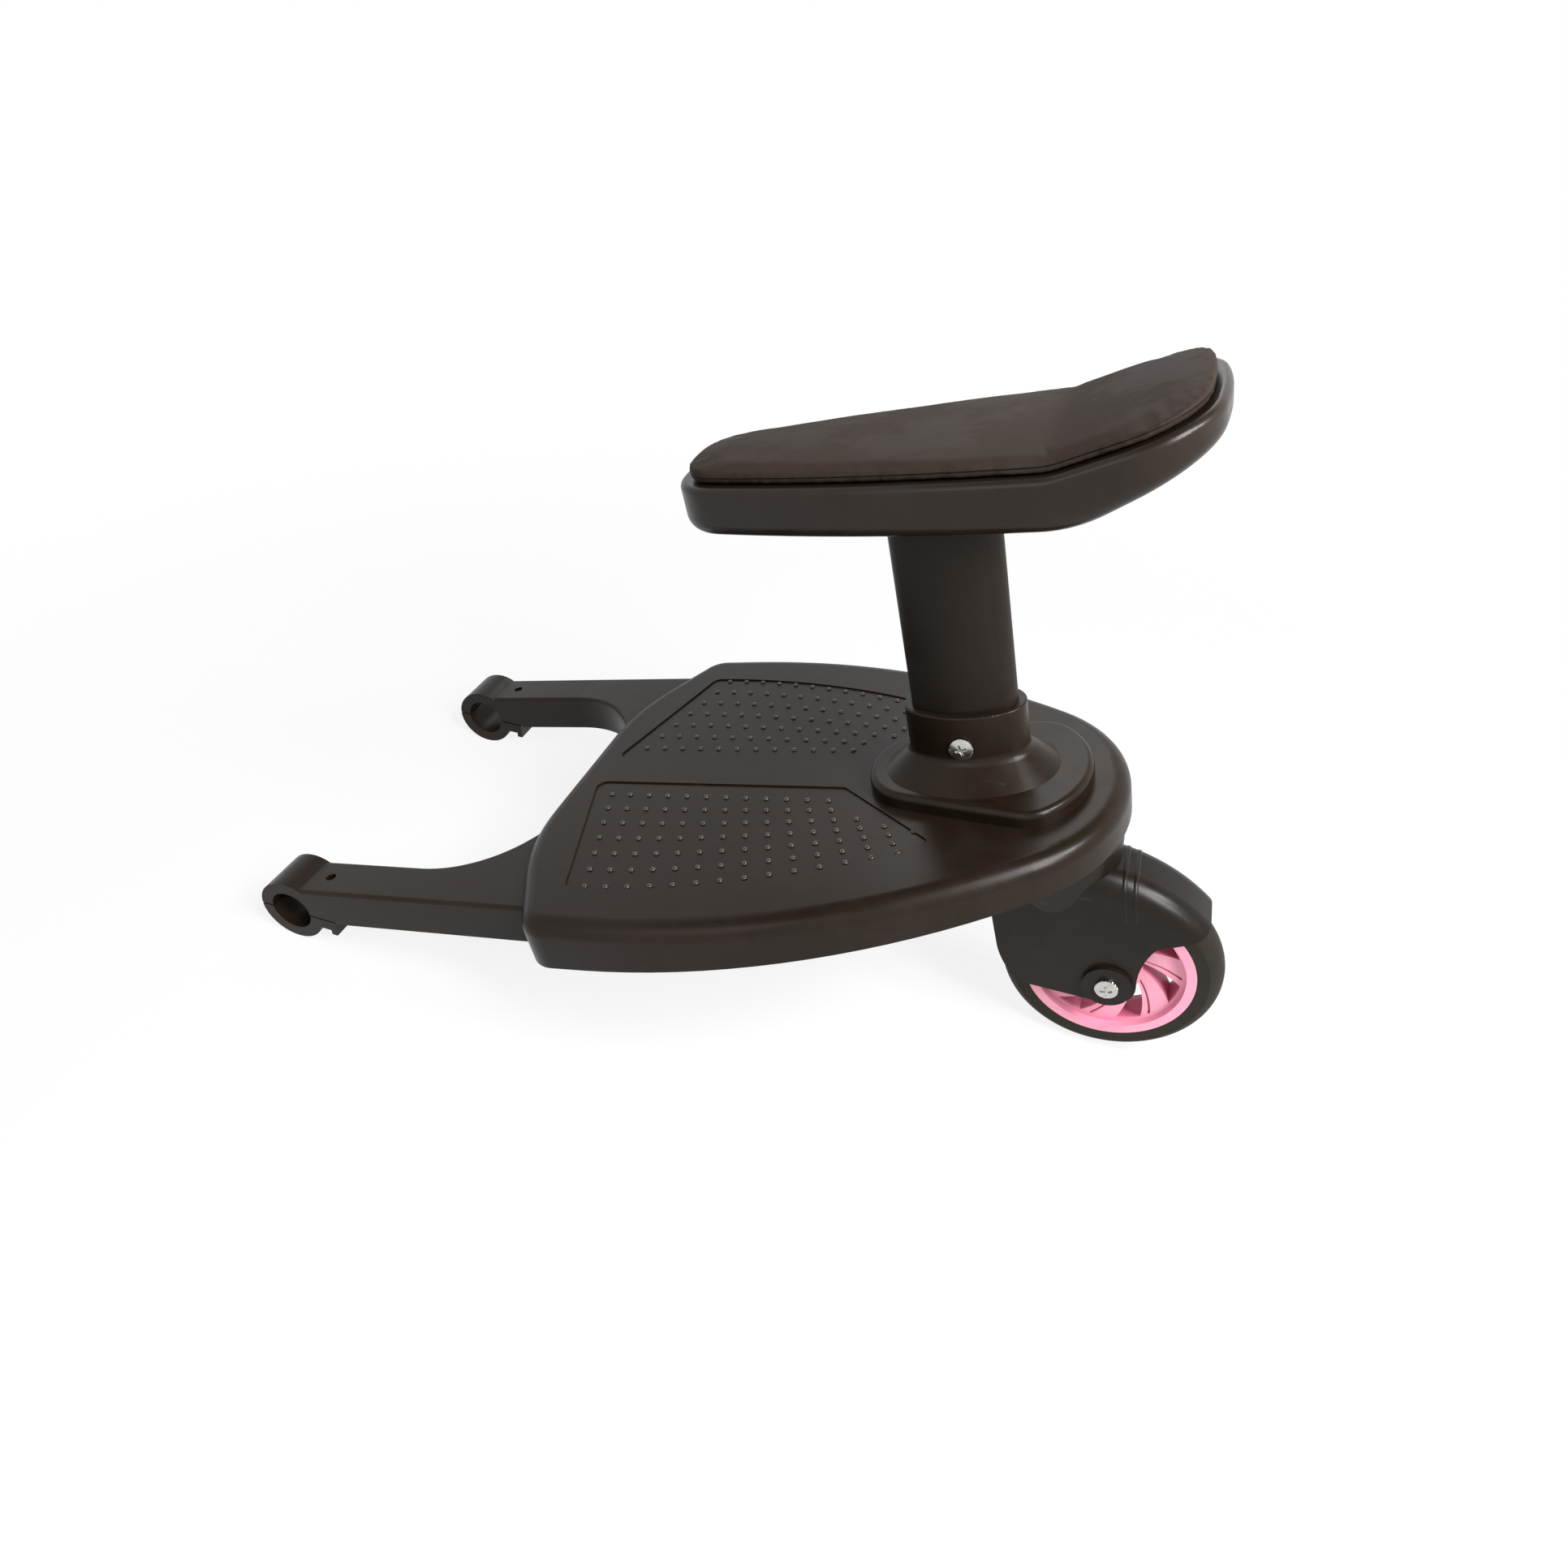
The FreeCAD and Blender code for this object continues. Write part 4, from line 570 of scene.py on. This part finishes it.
@dataclass(frozen=True)
class HubFinish(Finish):
    """Pink plastic with painted shade: a darker pink down in the windows and grooves."""

    # Painted shade: the distance from the mid plane over which it fades out, and its darker pink.
    shade_fade_mm: Span = (6.0, 9.0)
    recess_shade_colour: Colour = (0.62, 0.16, 0.27)

    def colour(self, nodes: Nodes, where: Socket, drift: bpy.types.Node) -> Socket:
        """Pink with painted shade, darker towards the hub's mid plane.

        Args:
            nodes: The material's nodes.
            where: Object coordinates.
            drift: The colour drift.

        Returns:
            The colour's socket.
        """
        # Painted shade: near the mid plane, in the windows and grooves, the pink turns to the darker recess shade
        # colour.
        parts = nodes.add("ShaderNodeSeparateXYZ")
        nodes.feed(parts.inputs[0], where)
        away = nodes.math("ABSOLUTE", parts.outputs["Y"])
        floor, face = self.shade_fade_mm
        rise = nodes.span(away, (floor * MM, face * MM))
        return nodes.mix(rise, self.recess_shade_colour, drift.outputs["Colour"])


@dataclass(frozen=True)
class PadFinish(Finish):
    """Soft coated cover with a pebbled grain and two seam lines round its side."""

    seam_heights_mm: Span = (0.6, 3.4)
    seam_half_mm: float = 0.45
    seam_core: float = 0.5
    seam_sink: float = 4.0
    seam_dark: Colour = (0.008, 0.006, 0.005)

    def _seam(self, nodes: Nodes) -> Socket:
        """Mask of the seam lines, from the pad's own height attribute.

        Args:
            nodes: The material's nodes.

        Returns:
            The mask's socket.
        """
        height = nodes.add("ShaderNodeAttribute", attribute_name=PAD_HEIGHT).outputs["Fac"]
        edges = (self.seam_half_mm * self.seam_core, self.seam_half_mm)
        lines = []
        for level in self.seam_heights_mm:
            away = nodes.math("ABSOLUTE", nodes.math("SUBTRACT", height, level))
            lines.append(nodes.span(away, edges, (1.0, 0.0)))
        return nodes.math("MAXIMUM", *lines)

    def colour(self, nodes: Nodes, where: Socket, drift: bpy.types.Node) -> Socket:
        """Mottled cover, dark in its seams.

        Args:
            nodes: The material's nodes.
            where: Object coordinates.
            drift: The colour drift.

        Returns:
            The colour's socket.
        """
        return nodes.mix(self._seam(nodes), drift.outputs["Colour"], self.seam_dark)

    def height(self, nodes: Nodes, where: Socket, effects: Effects) -> Socket:
        """Pebbled grain with sunk seams.

        Args:
            nodes: The material's nodes.
            where: Object coordinates.
            effects: Shared effects.

        Returns:
            The height's socket.
        """
        grain = super().height(nodes, where, effects)
        return nodes.math("SUBTRACT", grain,
                          nodes.math("MULTIPLY", self._seam(nodes), self.seam_sink))


FINISHES: dict[Slot, Finish] = {
    Slot.BOARD: Finish(
        "satin_board_plastic", base=(0.0130, 0.0078, 0.0042), second=(0.0170, 0.0106, 0.0072),
        roughness=(0.28, 0.36), grain_per_m=2600.0, grain_mm=0.05,
        rubbed=(0.06, 0.05, 0.042), rub_share=0.3, specular=0.18),
    Slot.POST: Finish(
        "satin_post_plastic", base=(0.0105, 0.0070, 0.0045), second=(0.0135, 0.0094, 0.0065),
        roughness=(0.40, 0.50), grain_per_m=2600.0, grain_mm=0.04,
        rubbed=(0.06, 0.053, 0.047), rub_share=0.2, specular=0.18),
    Slot.PAN: Finish(
        "satin_pan_plastic", base=(0.0170, 0.0114, 0.0078), second=(0.0220, 0.0154, 0.0114),
        roughness=(0.28, 0.36), grain_per_m=2600.0, grain_mm=0.05,
        rubbed=(0.08, 0.068, 0.06), rub_share=0.25, specular=0.26),
    Slot.PAD: PadFinish(
        "soft_pad_cover", base=(0.032, 0.0226, 0.0172), second=(0.040, 0.0286, 0.0230),
        roughness=(0.54, 0.66), grain_per_m=1500.0, grain_mm=0.10, drift_per_m=22.0,
        rubbed=(0.08, 0.065, 0.056), rub_share=0.25, specular=0.06),
    Slot.FORK: Finish(
        "satin_fork_plastic", base=(0.0090, 0.0064, 0.0046), second=(0.0125, 0.0092, 0.0070),
        roughness=(0.28, 0.36), grain_per_m=2600.0, grain_mm=0.05,
        rubbed=(0.08, 0.07, 0.062), rub_share=0.3, specular=0.19),
    Slot.HUB: HubFinish(
        "pink_hub_plastic", base=(0.78, 0.27, 0.40), second=(0.84, 0.35, 0.47),
        roughness=(0.34, 0.46), grain_per_m=1800.0, grain_mm=0.03,
        rubbed=(0.92, 0.58, 0.66), rub_share=0.3, specular=0.35),
    Slot.TYRE: Finish(
        "black_tyre_rubber", base=(0.0140, 0.0110, 0.0072), second=(0.0210, 0.0170, 0.0118),
        roughness=(0.50, 0.68), grain_per_m=1400.0, grain_mm=0.08,
        rubbed=(0.06, 0.054, 0.045), rub_share=0.4, specular=0.2),
    Slot.BUSH: Finish(
        "plain_bush_nylon", base=(0.66, 0.64, 0.58), second=(0.72, 0.70, 0.65),
        roughness=(0.40, 0.52), grain_per_m=2000.0, grain_mm=0.03),
    Slot.ZINC: Finish(
        "zinc_plated_steel", base=(0.50, 0.50, 0.48), second=(0.62, 0.61, 0.58),
        roughness=(0.20, 0.36), grain_per_m=1200.0, grain_mm=0.02, drift_per_m=160.0,
        metallic=1.0),
    Slot.BEARING: Finish(
        "ground_bearing_steel", base=(0.56, 0.57, 0.58), second=(0.66, 0.66, 0.67),
        roughness=(0.18, 0.28), grain_per_m=1600.0, grain_mm=0.015, drift_per_m=160.0,
        metallic=1.0),
}
# Studs: the lighter base colour is a painted highlight on the grips; the rub marks on them are wear.
STUD_SHEEN_AND_WEAR = Finish(
    "stud_plastic_sheen_and_wear", base=(0.030, 0.023, 0.018), second=(0.045, 0.036, 0.030),
    roughness=(0.22, 0.34), grain_per_m=2600.0, grain_mm=0.02,
    rubbed=(0.12, 0.11, 0.10), rub_share=0.4)


class Wardrobe:
    """The finished materials, one for each slot, put on the CAD nodes."""

    def __init__(self) -> None:
        """Builds every material."""
        effects = Effects()
        self.materials = {slot: finish.material(effects) for slot, finish in FINISHES.items()}
        self.studs = STUD_SHEEN_AND_WEAR.material(effects)

    def dress_frame(self) -> None:
        """Gives every CAD node the finish of its slot."""
        for row in frame["record"]["subparts"]:
            mesh = frame["nodes"][row["node"]].data
            mesh.materials.clear()
            mesh.materials.append(self.materials[Slot(row["material_slot"])])
            LOG.info("%s: %s", row["node"], row["material_slot"])


class Piece(ABC):
    """A piece that is added to the CAD frame or stands in for one of its nodes."""

    @abstractmethod
    def build(self) -> bpy.types.Object:
        """Models the piece."""

    @abstractmethod
    def dress(self, piece: bpy.types.Object, wardrobe: Wardrobe) -> None:
        """Gives the modelled piece its body and its finish."""


@dataclass
class DeckStuds(Piece):
    """Rows of small round grips on the two sunk standing panels."""

    space: BoardSpace
    panel_z: float = 5.0
    stud_radius: float = 1.8
    stud_height: float = 0.9
    stud_sides: int = 10
    stud_rings: int = 8
    counts: tuple[int, ...] = (12, 12, 13, 14, 15, 14, 14)
    first_y: float = 27.5
    row_pitch: float = 15.1
    front_x: float = 272.0
    front_slant: float = 4.5
    stud_pitch: float = 13.4
    rear_draw: float = 45.0
    draw_run: float = 175.0
    draw_power: float = 1.7
    sharp_degrees: float = 50.0

    def spots(self) -> list[tuple[float, float]]:
        """Places of the studs on the left panel.

        Returns:
            Forward and sideways millimetres of each stud.
        """
        found = []
        for row, count in enumerate(self.counts):
            share = row / (len(self.counts) - 1)
            start = self.front_x - self.front_slant * row
            for index in range(count):
                back = self.stud_pitch * index
                inward = self.rear_draw * share * (back / self.draw_run) ** self.draw_power
                found.append((start - back, self.first_y + self.row_pitch * row - inward))
        return found

    def model_stud(self) -> bpy.types.Object:
        """One low round stud.

        Returns:
            The stud, in millimetres at the origin.
        """
        bpy.ops.object.select_all(action="DESELECT")
        bpy.ops.mesh.primitive_uv_sphere_add(
            segments=self.stud_sides, ring_count=self.stud_rings, radius=self.stud_radius)
        stud = bpy.context.object

        def halve() -> None:
            """Keeps the upper half, closes it below and flattens it."""
            bpy.ops.mesh.bisect(plane_co=(0, 0, 0), plane_no=(0, 0, 1), use_fill=True,
                                clear_inner=True)
            bpy.ops.mesh.select_all(action="SELECT")
            bpy.ops.transform.resize(value=(1, 1, self.stud_height / self.stud_radius))
            bpy.ops.mesh.normals_make_consistent(inside=False)

        in_edit_mode(stud, halve)
        return stud

    def build(self) -> bpy.types.Object:
        """Sets a stud on every spot of both panels and joins them.

        Returns:
            The joined studs.
        """
        stud = self.model_stud()
        copies = []
        for x, y in [(x, side * y) for x, y in self.spots() for side in (1, -1)]:
            copy = stud.copy()
            copy.data = stud.data.copy()
            copy.matrix_world = self.space.matrix() @ Matrix.Translation((x, y, self.panel_z))
            bpy.context.scene.collection.objects.link(copy)
            copies.append(copy)
        bpy.data.objects.remove(stud)
        grips = join(copies, "deck_studs")
        settle(grips)
        smooth(grips, self.sharp_degrees)
        return grips

    def dress(self, piece: bpy.types.Object, wardrobe: Wardrobe) -> None:
        """Gives the studs their finish: a lighter colour painted as highlight, with rub marks of wear."""
        hand_over(piece, Body.BOARD, wardrobe.studs)


@dataclass
class CrossBolt(Piece):
    """A bolt with a cross recess in its domed head, which faces the board's left."""

    node: str
    body: Body
    recess_mm: float
    arm_mm: float
    slot_mm: float
    turn: float = 20.0
    sharp_degrees: float = 30.0

    def cutter(self) -> bpy.types.Object:
        """A cross of two bars at the head's face.

        Returns:
            The cutter.
        """
        low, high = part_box(self.node)
        middle = (low + high) / 2
        bars = []
        for quarter in (0, 90):
            bpy.ops.object.select_all(action="DESELECT")
            bpy.ops.mesh.primitive_cube_add(size=1.0, location=(middle.x, high.y, middle.z))
            bar = bpy.context.object
            bar.scale = (2 * self.arm_mm * MM, 2 * self.recess_mm * MM, self.slot_mm * MM)
            bar.rotation_euler = (0, math.radians(self.turn + quarter), 0)
            settle(bar)
            bars.append(bar)
        combine(*bars, "UNION")
        return bars[0]

    def build(self) -> bpy.types.Object:
        """Cuts the cross into a copy of the CAD bolt.

        Returns:
            The bolt.
        """
        bolt = merged_copy(self.node, f"{self.node}_crossed")
        combine(bolt, self.cutter(), "DIFFERENCE")
        smooth(bolt, self.sharp_degrees)
        return bolt

    def dress(self, piece: bpy.types.Object, wardrobe: Wardrobe) -> None:
        """Plates the bolt and puts it in the CAD bolt's place."""
        hand_over(piece, self.body, wardrobe.materials[Slot.ZINC])
        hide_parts(self.node)


@dataclass
class GuardRidges(Piece):
    """Two half-round ridges over the mudguard, where it leaves the neck."""

    space: BoardSpace
    places: tuple[float, float] = (-41.5, -47.5)
    centre_z: float = -152.8
    back_radius: float = 110.0
    half_width: float = 23.0
    edge_radius: float = 14.0
    foot_z: float = -80.0
    ridge_radius: float = 2.4
    proud: float = 0.6
    bend_steps: int = 8
    round_steps: int = 3
    sharp_degrees: float = 60.0

    def path(self, x: float) -> list[Point]:
        """Middle line of one ridge, from its left foot over the back to its right foot.

        Args:
            x: Its place ahead of the swivel axis.

        Returns:
            Points in the board's millimetres.
        """
        sink = self.ridge_radius - self.proud
        flat = self.half_width - self.edge_radius
        inner = self.back_radius - self.edge_radius
        bend = self.edge_radius - sink
        left = [(x, self.half_width - sink, self.foot_z)]
        for step in range(self.bend_steps + 1):
            angle = math.pi / 2 * step / self.bend_steps
            out = inner + bend * math.sin(angle)
            height = self.centre_z + math.sqrt(out ** 2 - x ** 2)
            left.append((x, flat + bend * math.cos(angle), height))
        return left + [(x, -y, z) for x, y, z in reversed(left)]

    def model_ridge(self, x: float) -> bpy.types.Object:
        """One ridge, swept along its line.

        Args:
            x: Its place ahead of the swivel axis.

        Returns:
            The ridge as a mesh.
        """
        line = bpy.data.curves.new("guard_ridge", "CURVE")
        line.dimensions = "3D"
        line.bevel_depth = self.ridge_radius * MM
        line.bevel_resolution = self.round_steps
        line.use_fill_caps = True
        spline = line.splines.new("POLY")
        points = [self.space.place(*point) for point in self.path(x)]
        spline.points.add(len(points) - 1)
        for spot, point in zip(spline.points, points):
            spot.co = (*point, 1.0)
        ridge = bpy.data.objects.new("guard_ridge", line)
        bpy.context.scene.collection.objects.link(ridge)
        pick_only(ridge)
        bpy.ops.object.convert(target="MESH")
        return bpy.context.object

    def build(self) -> bpy.types.Object:
        """Models both ridges and joins them.

        Returns:
            The joined ridges.
        """
        ridges = join([self.model_ridge(x) for x in self.places], "guard_ridges")
        smooth(ridges, self.sharp_degrees)
        return ridges

    def dress(self, piece: bpy.types.Object, wardrobe: Wardrobe) -> None:
        """Gives the ridges the fork's finish."""
        hand_over(piece, Body.CASTER, wardrobe.materials[Slot.FORK])


@dataclass
class SeatPad(Piece):
    """Thin foam pad, blown up inside its cover and held flat on the pan."""

    space: BoardSpace
    base_z: float = 202.6
    kick_x: float = -14.0
    kick_radius: float = 43.2
    kick_angle: float = 14.5
    spread: float = 1.045
    voxel_mm: float = 1.8
    shrink_mm: float = 0.3
    pressure: float = 4.0
    quality: int = 6
    frames: int = 16
    cap_mm: float = 1.6
    held_mm: float = 1.2
    soften: float = 0.5
    soften_steps: int = 3
    finer_levels: int = 1
    sharp_degrees: float = 60.0

    def base_height(self, x: float) -> tuple[float, float]:
        """Height of the pan's top under a point of the pad.

        Args:
            x: Millimetres ahead of the swivel axis.

        Returns:
            The height and the cosine of the slope there.
        """
        angle = math.radians(self.kick_angle)
        bend = self.kick_x - self.kick_radius * math.sin(angle)
        if x >= self.kick_x:
            return self.base_z, 1.0
        if x >= bend:
            rise = math.sqrt(self.kick_radius ** 2 - (self.kick_x - x) ** 2)
            return self.base_z + self.kick_radius - rise, rise / self.kick_radius
        lift = self.kick_radius * (1 - math.cos(angle))
        return self.base_z + lift + (bend - x) * math.tan(angle), math.cos(angle)

    def heights(self, pad: bpy.types.Object) -> list[float]:
        """Millimetres of each point above the pan.

        Args:
            pad: The pad.

        Returns:
            One height for each vertex.
        """
        back = self.space.matrix().inverted()
        found = []
        for vertex in pad.data.vertices:
            point = back @ vertex.co
            base, slope = self.base_height(point.x)
            found.append((point.z - base) * slope)
        return found

    def blow_up(self, pad: bpy.types.Object) -> None:
        """Swells the pad by cloth pressure, with its underside held, and caps the movement.

        Args:
            pad: The pad.
        """
        rest = [vertex.co.copy() for vertex in pad.data.vertices]
        held = pad.vertex_groups.new(name="held")
        low = [index for index, height in enumerate(self.heights(pad)) if height < self.held_mm]
        held.add(low, 1.0, "REPLACE")
        cloth = pad.modifiers.new("Swell", "CLOTH")
        cloth.settings.use_pressure = True
        cloth.settings.uniform_pressure_force = self.pressure
        cloth.settings.effector_weights.gravity = 0.0
        cloth.settings.vertex_group_mass = held.name
        cloth.settings.quality = self.quality
        cloth.point_cache.frame_end = self.frames
        scene = bpy.context.scene
        for step in range(1, self.frames + 1):
            scene.frame_set(step)
        swollen = pad.evaluated_get(bpy.context.evaluated_depsgraph_get())
        moved = [vertex.co.copy() for vertex in swollen.data.vertices]
        pad.modifiers.remove(cloth)
        scene.frame_set(1)
        cap = self.cap_mm * MM
        for vertex, start, end in zip(pad.data.vertices, rest, moved):
            step = end - start
            vertex.co = start + step * min(1.0, cap / max(step.length, 1e-9))
        pad.vertex_groups.clear()

    def build(self) -> bpy.types.Object:
        """Makes the pad from the CAD pad's shape.

        Returns:
            The pad, with its height above the pan as an attribute.
        """
        pad = merged_copy("seat_pad", "seat_pad_cover")

        def fit() -> None:
            """Widens the pad to the pan's edge and draws its skin in."""
            bpy.ops.transform.resize(value=(1, self.spread, 1), center_override=(0, 0, 0))
            bpy.ops.transform.shrink_fatten(value=-self.shrink_mm * MM)

        in_edit_mode(pad, fit)
        remesh = pad.modifiers.new("Even", "REMESH")
        remesh.mode = "VOXEL"
        remesh.voxel_size = self.voxel_mm * MM
        apply_modifiers(pad)
        self.blow_up(pad)
        soften = pad.modifiers.new("Soften", "SMOOTH")
        soften.factor = self.soften
        soften.iterations = self.soften_steps
        finer = pad.modifiers.new("Finer", "SUBSURF")
        finer.levels = self.finer_levels
        finer.render_levels = self.finer_levels
        apply_modifiers(pad)
        marks = pad.data.attributes.new(PAD_HEIGHT, "FLOAT", "POINT")
        marks.data.foreach_set("value", self.heights(pad))
        smooth(pad, self.sharp_degrees)
        return pad

    def dress(self, piece: bpy.types.Object, wardrobe: Wardrobe) -> None:
        """Covers the pad and puts it in the CAD pad's place.

        Args:
            piece: The pad.
            wardrobe: The finishes.
        """
        hand_over(piece, Body.BOARD, wardrobe.materials[Slot.PAD])
        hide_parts("seat_pad")


@dataclass(frozen=True)
class Lamp:
    """One soft oblong lamp, in metres and watts."""

    name: str
    spot: Point
    aim: Point
    size: Span
    watts: float

    def build(self) -> None:
        """Hangs the lamp and turns it to the point that it lights."""
        data = bpy.data.lights.new(self.name, "AREA")
        data.shape = "RECTANGLE"
        data.size, data.size_y = self.size
        data.energy = self.watts
        lamp = bpy.data.objects.new(self.name, data)
        lamp.location = self.spot
        ray = Vector(self.aim) - Vector(self.spot)
        lamp.rotation_euler = ray.to_track_quat("-Z", "Y").to_euler()
        bpy.context.scene.collection.objects.link(lamp)


LAMPS = (
    Lamp("key", spot=(-0.85, 0.55, 1.25), aim=(-0.05, 0.0, 0.15), size=(0.45, 0.9), watts=29.0),
    Lamp("rim", spot=(-0.95, 0.15, 1.15), aim=(-0.1, 0.0, 0.2), size=(0.2, 0.2), watts=8.0),
    Lamp("side", spot=(0.5, 1.3, 0.9), aim=(0.0, 0.0, 0.15), size=(0.7, 0.7), watts=2.5),
    Lamp("back", spot=(0.3, -1.1, 1.1), aim=(0.0, 0.0, 0.15), size=(0.7, 0.7), watts=3.0),
)


@dataclass
class Studio:
    """Pale floor, round backdrop, lamps and the camera."""

    space: BoardSpace
    image_px: float = 1932.0
    focal_px: float = 1358.857
    sensor_mm: float = 36.0
    clip_m: float = 0.01
    eye: Point = (-92.19, 529.61, 367.87)
    right: Point = (-0.92938, -0.31578, -0.19112)
    down: Point = (-0.02272, 0.56574, -0.82427)
    forward: Point = (0.36841, -0.76172, -0.53296)
    paper: Colour = (0.90, 0.90, 0.90)
    floor_size: float = 60.0
    floor_drop: float = 0.0003
    floor_white: float = 0.86
    shadow_reach: Span = (0.35, 0.9)
    backdrop_sides: int = 96
    backdrop_away: float = 25.0
    backdrop_height: float = 30.0
    fill: float = 0.17

    def set_camera(self) -> None:
        """Puts the camera where the picture was taken."""
        data = bpy.data.cameras.new("picture_camera")
        data.sensor_width = self.sensor_mm
        data.lens = data.sensor_width * self.focal_px / self.image_px
        data.clip_start = self.clip_m
        camera = bpy.data.objects.new("picture_camera", data)
        bpy.context.scene.collection.objects.link(camera)
        right, down, forward = map(self.space.aim, (self.right, self.down, self.forward))
        sides = [side.normalized() for side in (right, -down, -forward)]
        turn = Matrix(sides).transposed().to_4x4()
        camera.matrix_world = Matrix.Translation(self.space.place(*self.eye)) @ turn
        bpy.context.scene.camera = camera

    @staticmethod
    def seen(nodes: Nodes) -> Socket:
        """Mask of the rays that show the background itself.

        Args:
            nodes: The material's nodes.

        Returns:
            The mask's socket.
        """
        path = nodes.add("ShaderNodeLightPath").outputs
        shown = nodes.math("MAXIMUM", path["Is Camera Ray"], path["Is Transmission Ray"])
        return nodes.math("MAXIMUM", shown, path["Is Glossy Ray"])

    def pale_paper(self) -> bpy.types.Material:
        """Pale paper that looks white away from the board and keeps its shadow near it.

        Returns:
            The material of floor and backdrop.
        """
        made = bpy.data.materials.new("pale_paper")
        nodes = Nodes.fresh(made)
        matt = nodes.add("ShaderNodeBsdfDiffuse")
        nodes.feed(matt.inputs["Color"], self.paper)
        glow = nodes.add("ShaderNodeEmission")
        reach = nodes.add("ShaderNodeVectorMath", operation="LENGTH")
        nodes.feed(reach.inputs[0], nodes.add("ShaderNodeTexCoord").outputs["Object"])
        white = nodes.span(reach.outputs["Value"], self.shadow_reach, (self.floor_white, 1.0))
        blend = nodes.add("ShaderNodeMixShader")
        nodes.feed(blend.inputs[0], nodes.math("MULTIPLY", self.seen(nodes), white))
        nodes.feed(blend.inputs[1], matt.outputs[0])
        nodes.feed(blend.inputs[2], glow.outputs[0])
        nodes.feed(nodes.add("ShaderNodeOutputMaterial").inputs["Surface"], blend.outputs[0])
        return made

    def lay_floor(self) -> None:
        """A wide pale floor with a tall round backdrop far behind."""
        paper = self.pale_paper()
        bpy.ops.object.select_all(action="DESELECT")
        bpy.ops.mesh.primitive_plane_add(
            size=self.floor_size, location=(0, 0, -self.floor_drop))
        floor = bpy.context.object
        floor.name = "pale_floor"
        bpy.ops.object.select_all(action="DESELECT")
        bpy.ops.mesh.primitive_cylinder_add(
            vertices=self.backdrop_sides, radius=self.backdrop_away, depth=self.backdrop_height,
            end_fill_type="NOTHING", location=(0, 0, self.backdrop_height / 2))
        backdrop = bpy.context.object
        backdrop.name = "pale_backdrop"
        for piece in (floor, backdrop):
            settle(piece)
            piece.data.materials.append(paper)

    def set_world(self) -> None:
        """A dim even fill."""
        world = bpy.data.worlds.new("studio")
        nodes = Nodes.fresh(world)
        sky = nodes.add("ShaderNodeBackground")
        nodes.feed(sky.inputs["Color"], (1.0, 1.0, 1.0))
        nodes.feed(sky.inputs["Strength"], self.fill)
        nodes.feed(nodes.add("ShaderNodeOutputWorld").inputs["Surface"], sky.outputs[0])
        bpy.context.scene.world = world

    def build(self) -> None:
        """Sets the whole studio."""
        bpy.context.scene.view_settings.view_transform = "Standard"
        self.lay_floor()
        self.set_world()
        self.set_camera()
        for lamp in LAMPS:
            lamp.build()


def main() -> None:
    """Builds the pieces in order and dresses the frame."""
    logging.basicConfig(level=logging.INFO, format="%(name)s %(message)s")
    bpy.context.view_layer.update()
    space = BoardSpace.from_record()
    wardrobe = Wardrobe()
    wardrobe.dress_frame()
    makers: tuple[Piece, ...] = (
        DeckStuds(space),
        CrossBolt("axle_bolt", Body.CASTER, recess_mm=1.8, arm_mm=3.6, slot_mm=1.5),
        CrossBolt("post_bolt", Body.BOARD, recess_mm=1.6, arm_mm=3.3, slot_mm=1.4, turn=35.0),
        GuardRidges(space),
        SeatPad(space),
    )
    for maker in makers:
        maker.dress(maker.build(), wardrobe)
    Studio(space).build()


if __name__ == "__main__":
    main()
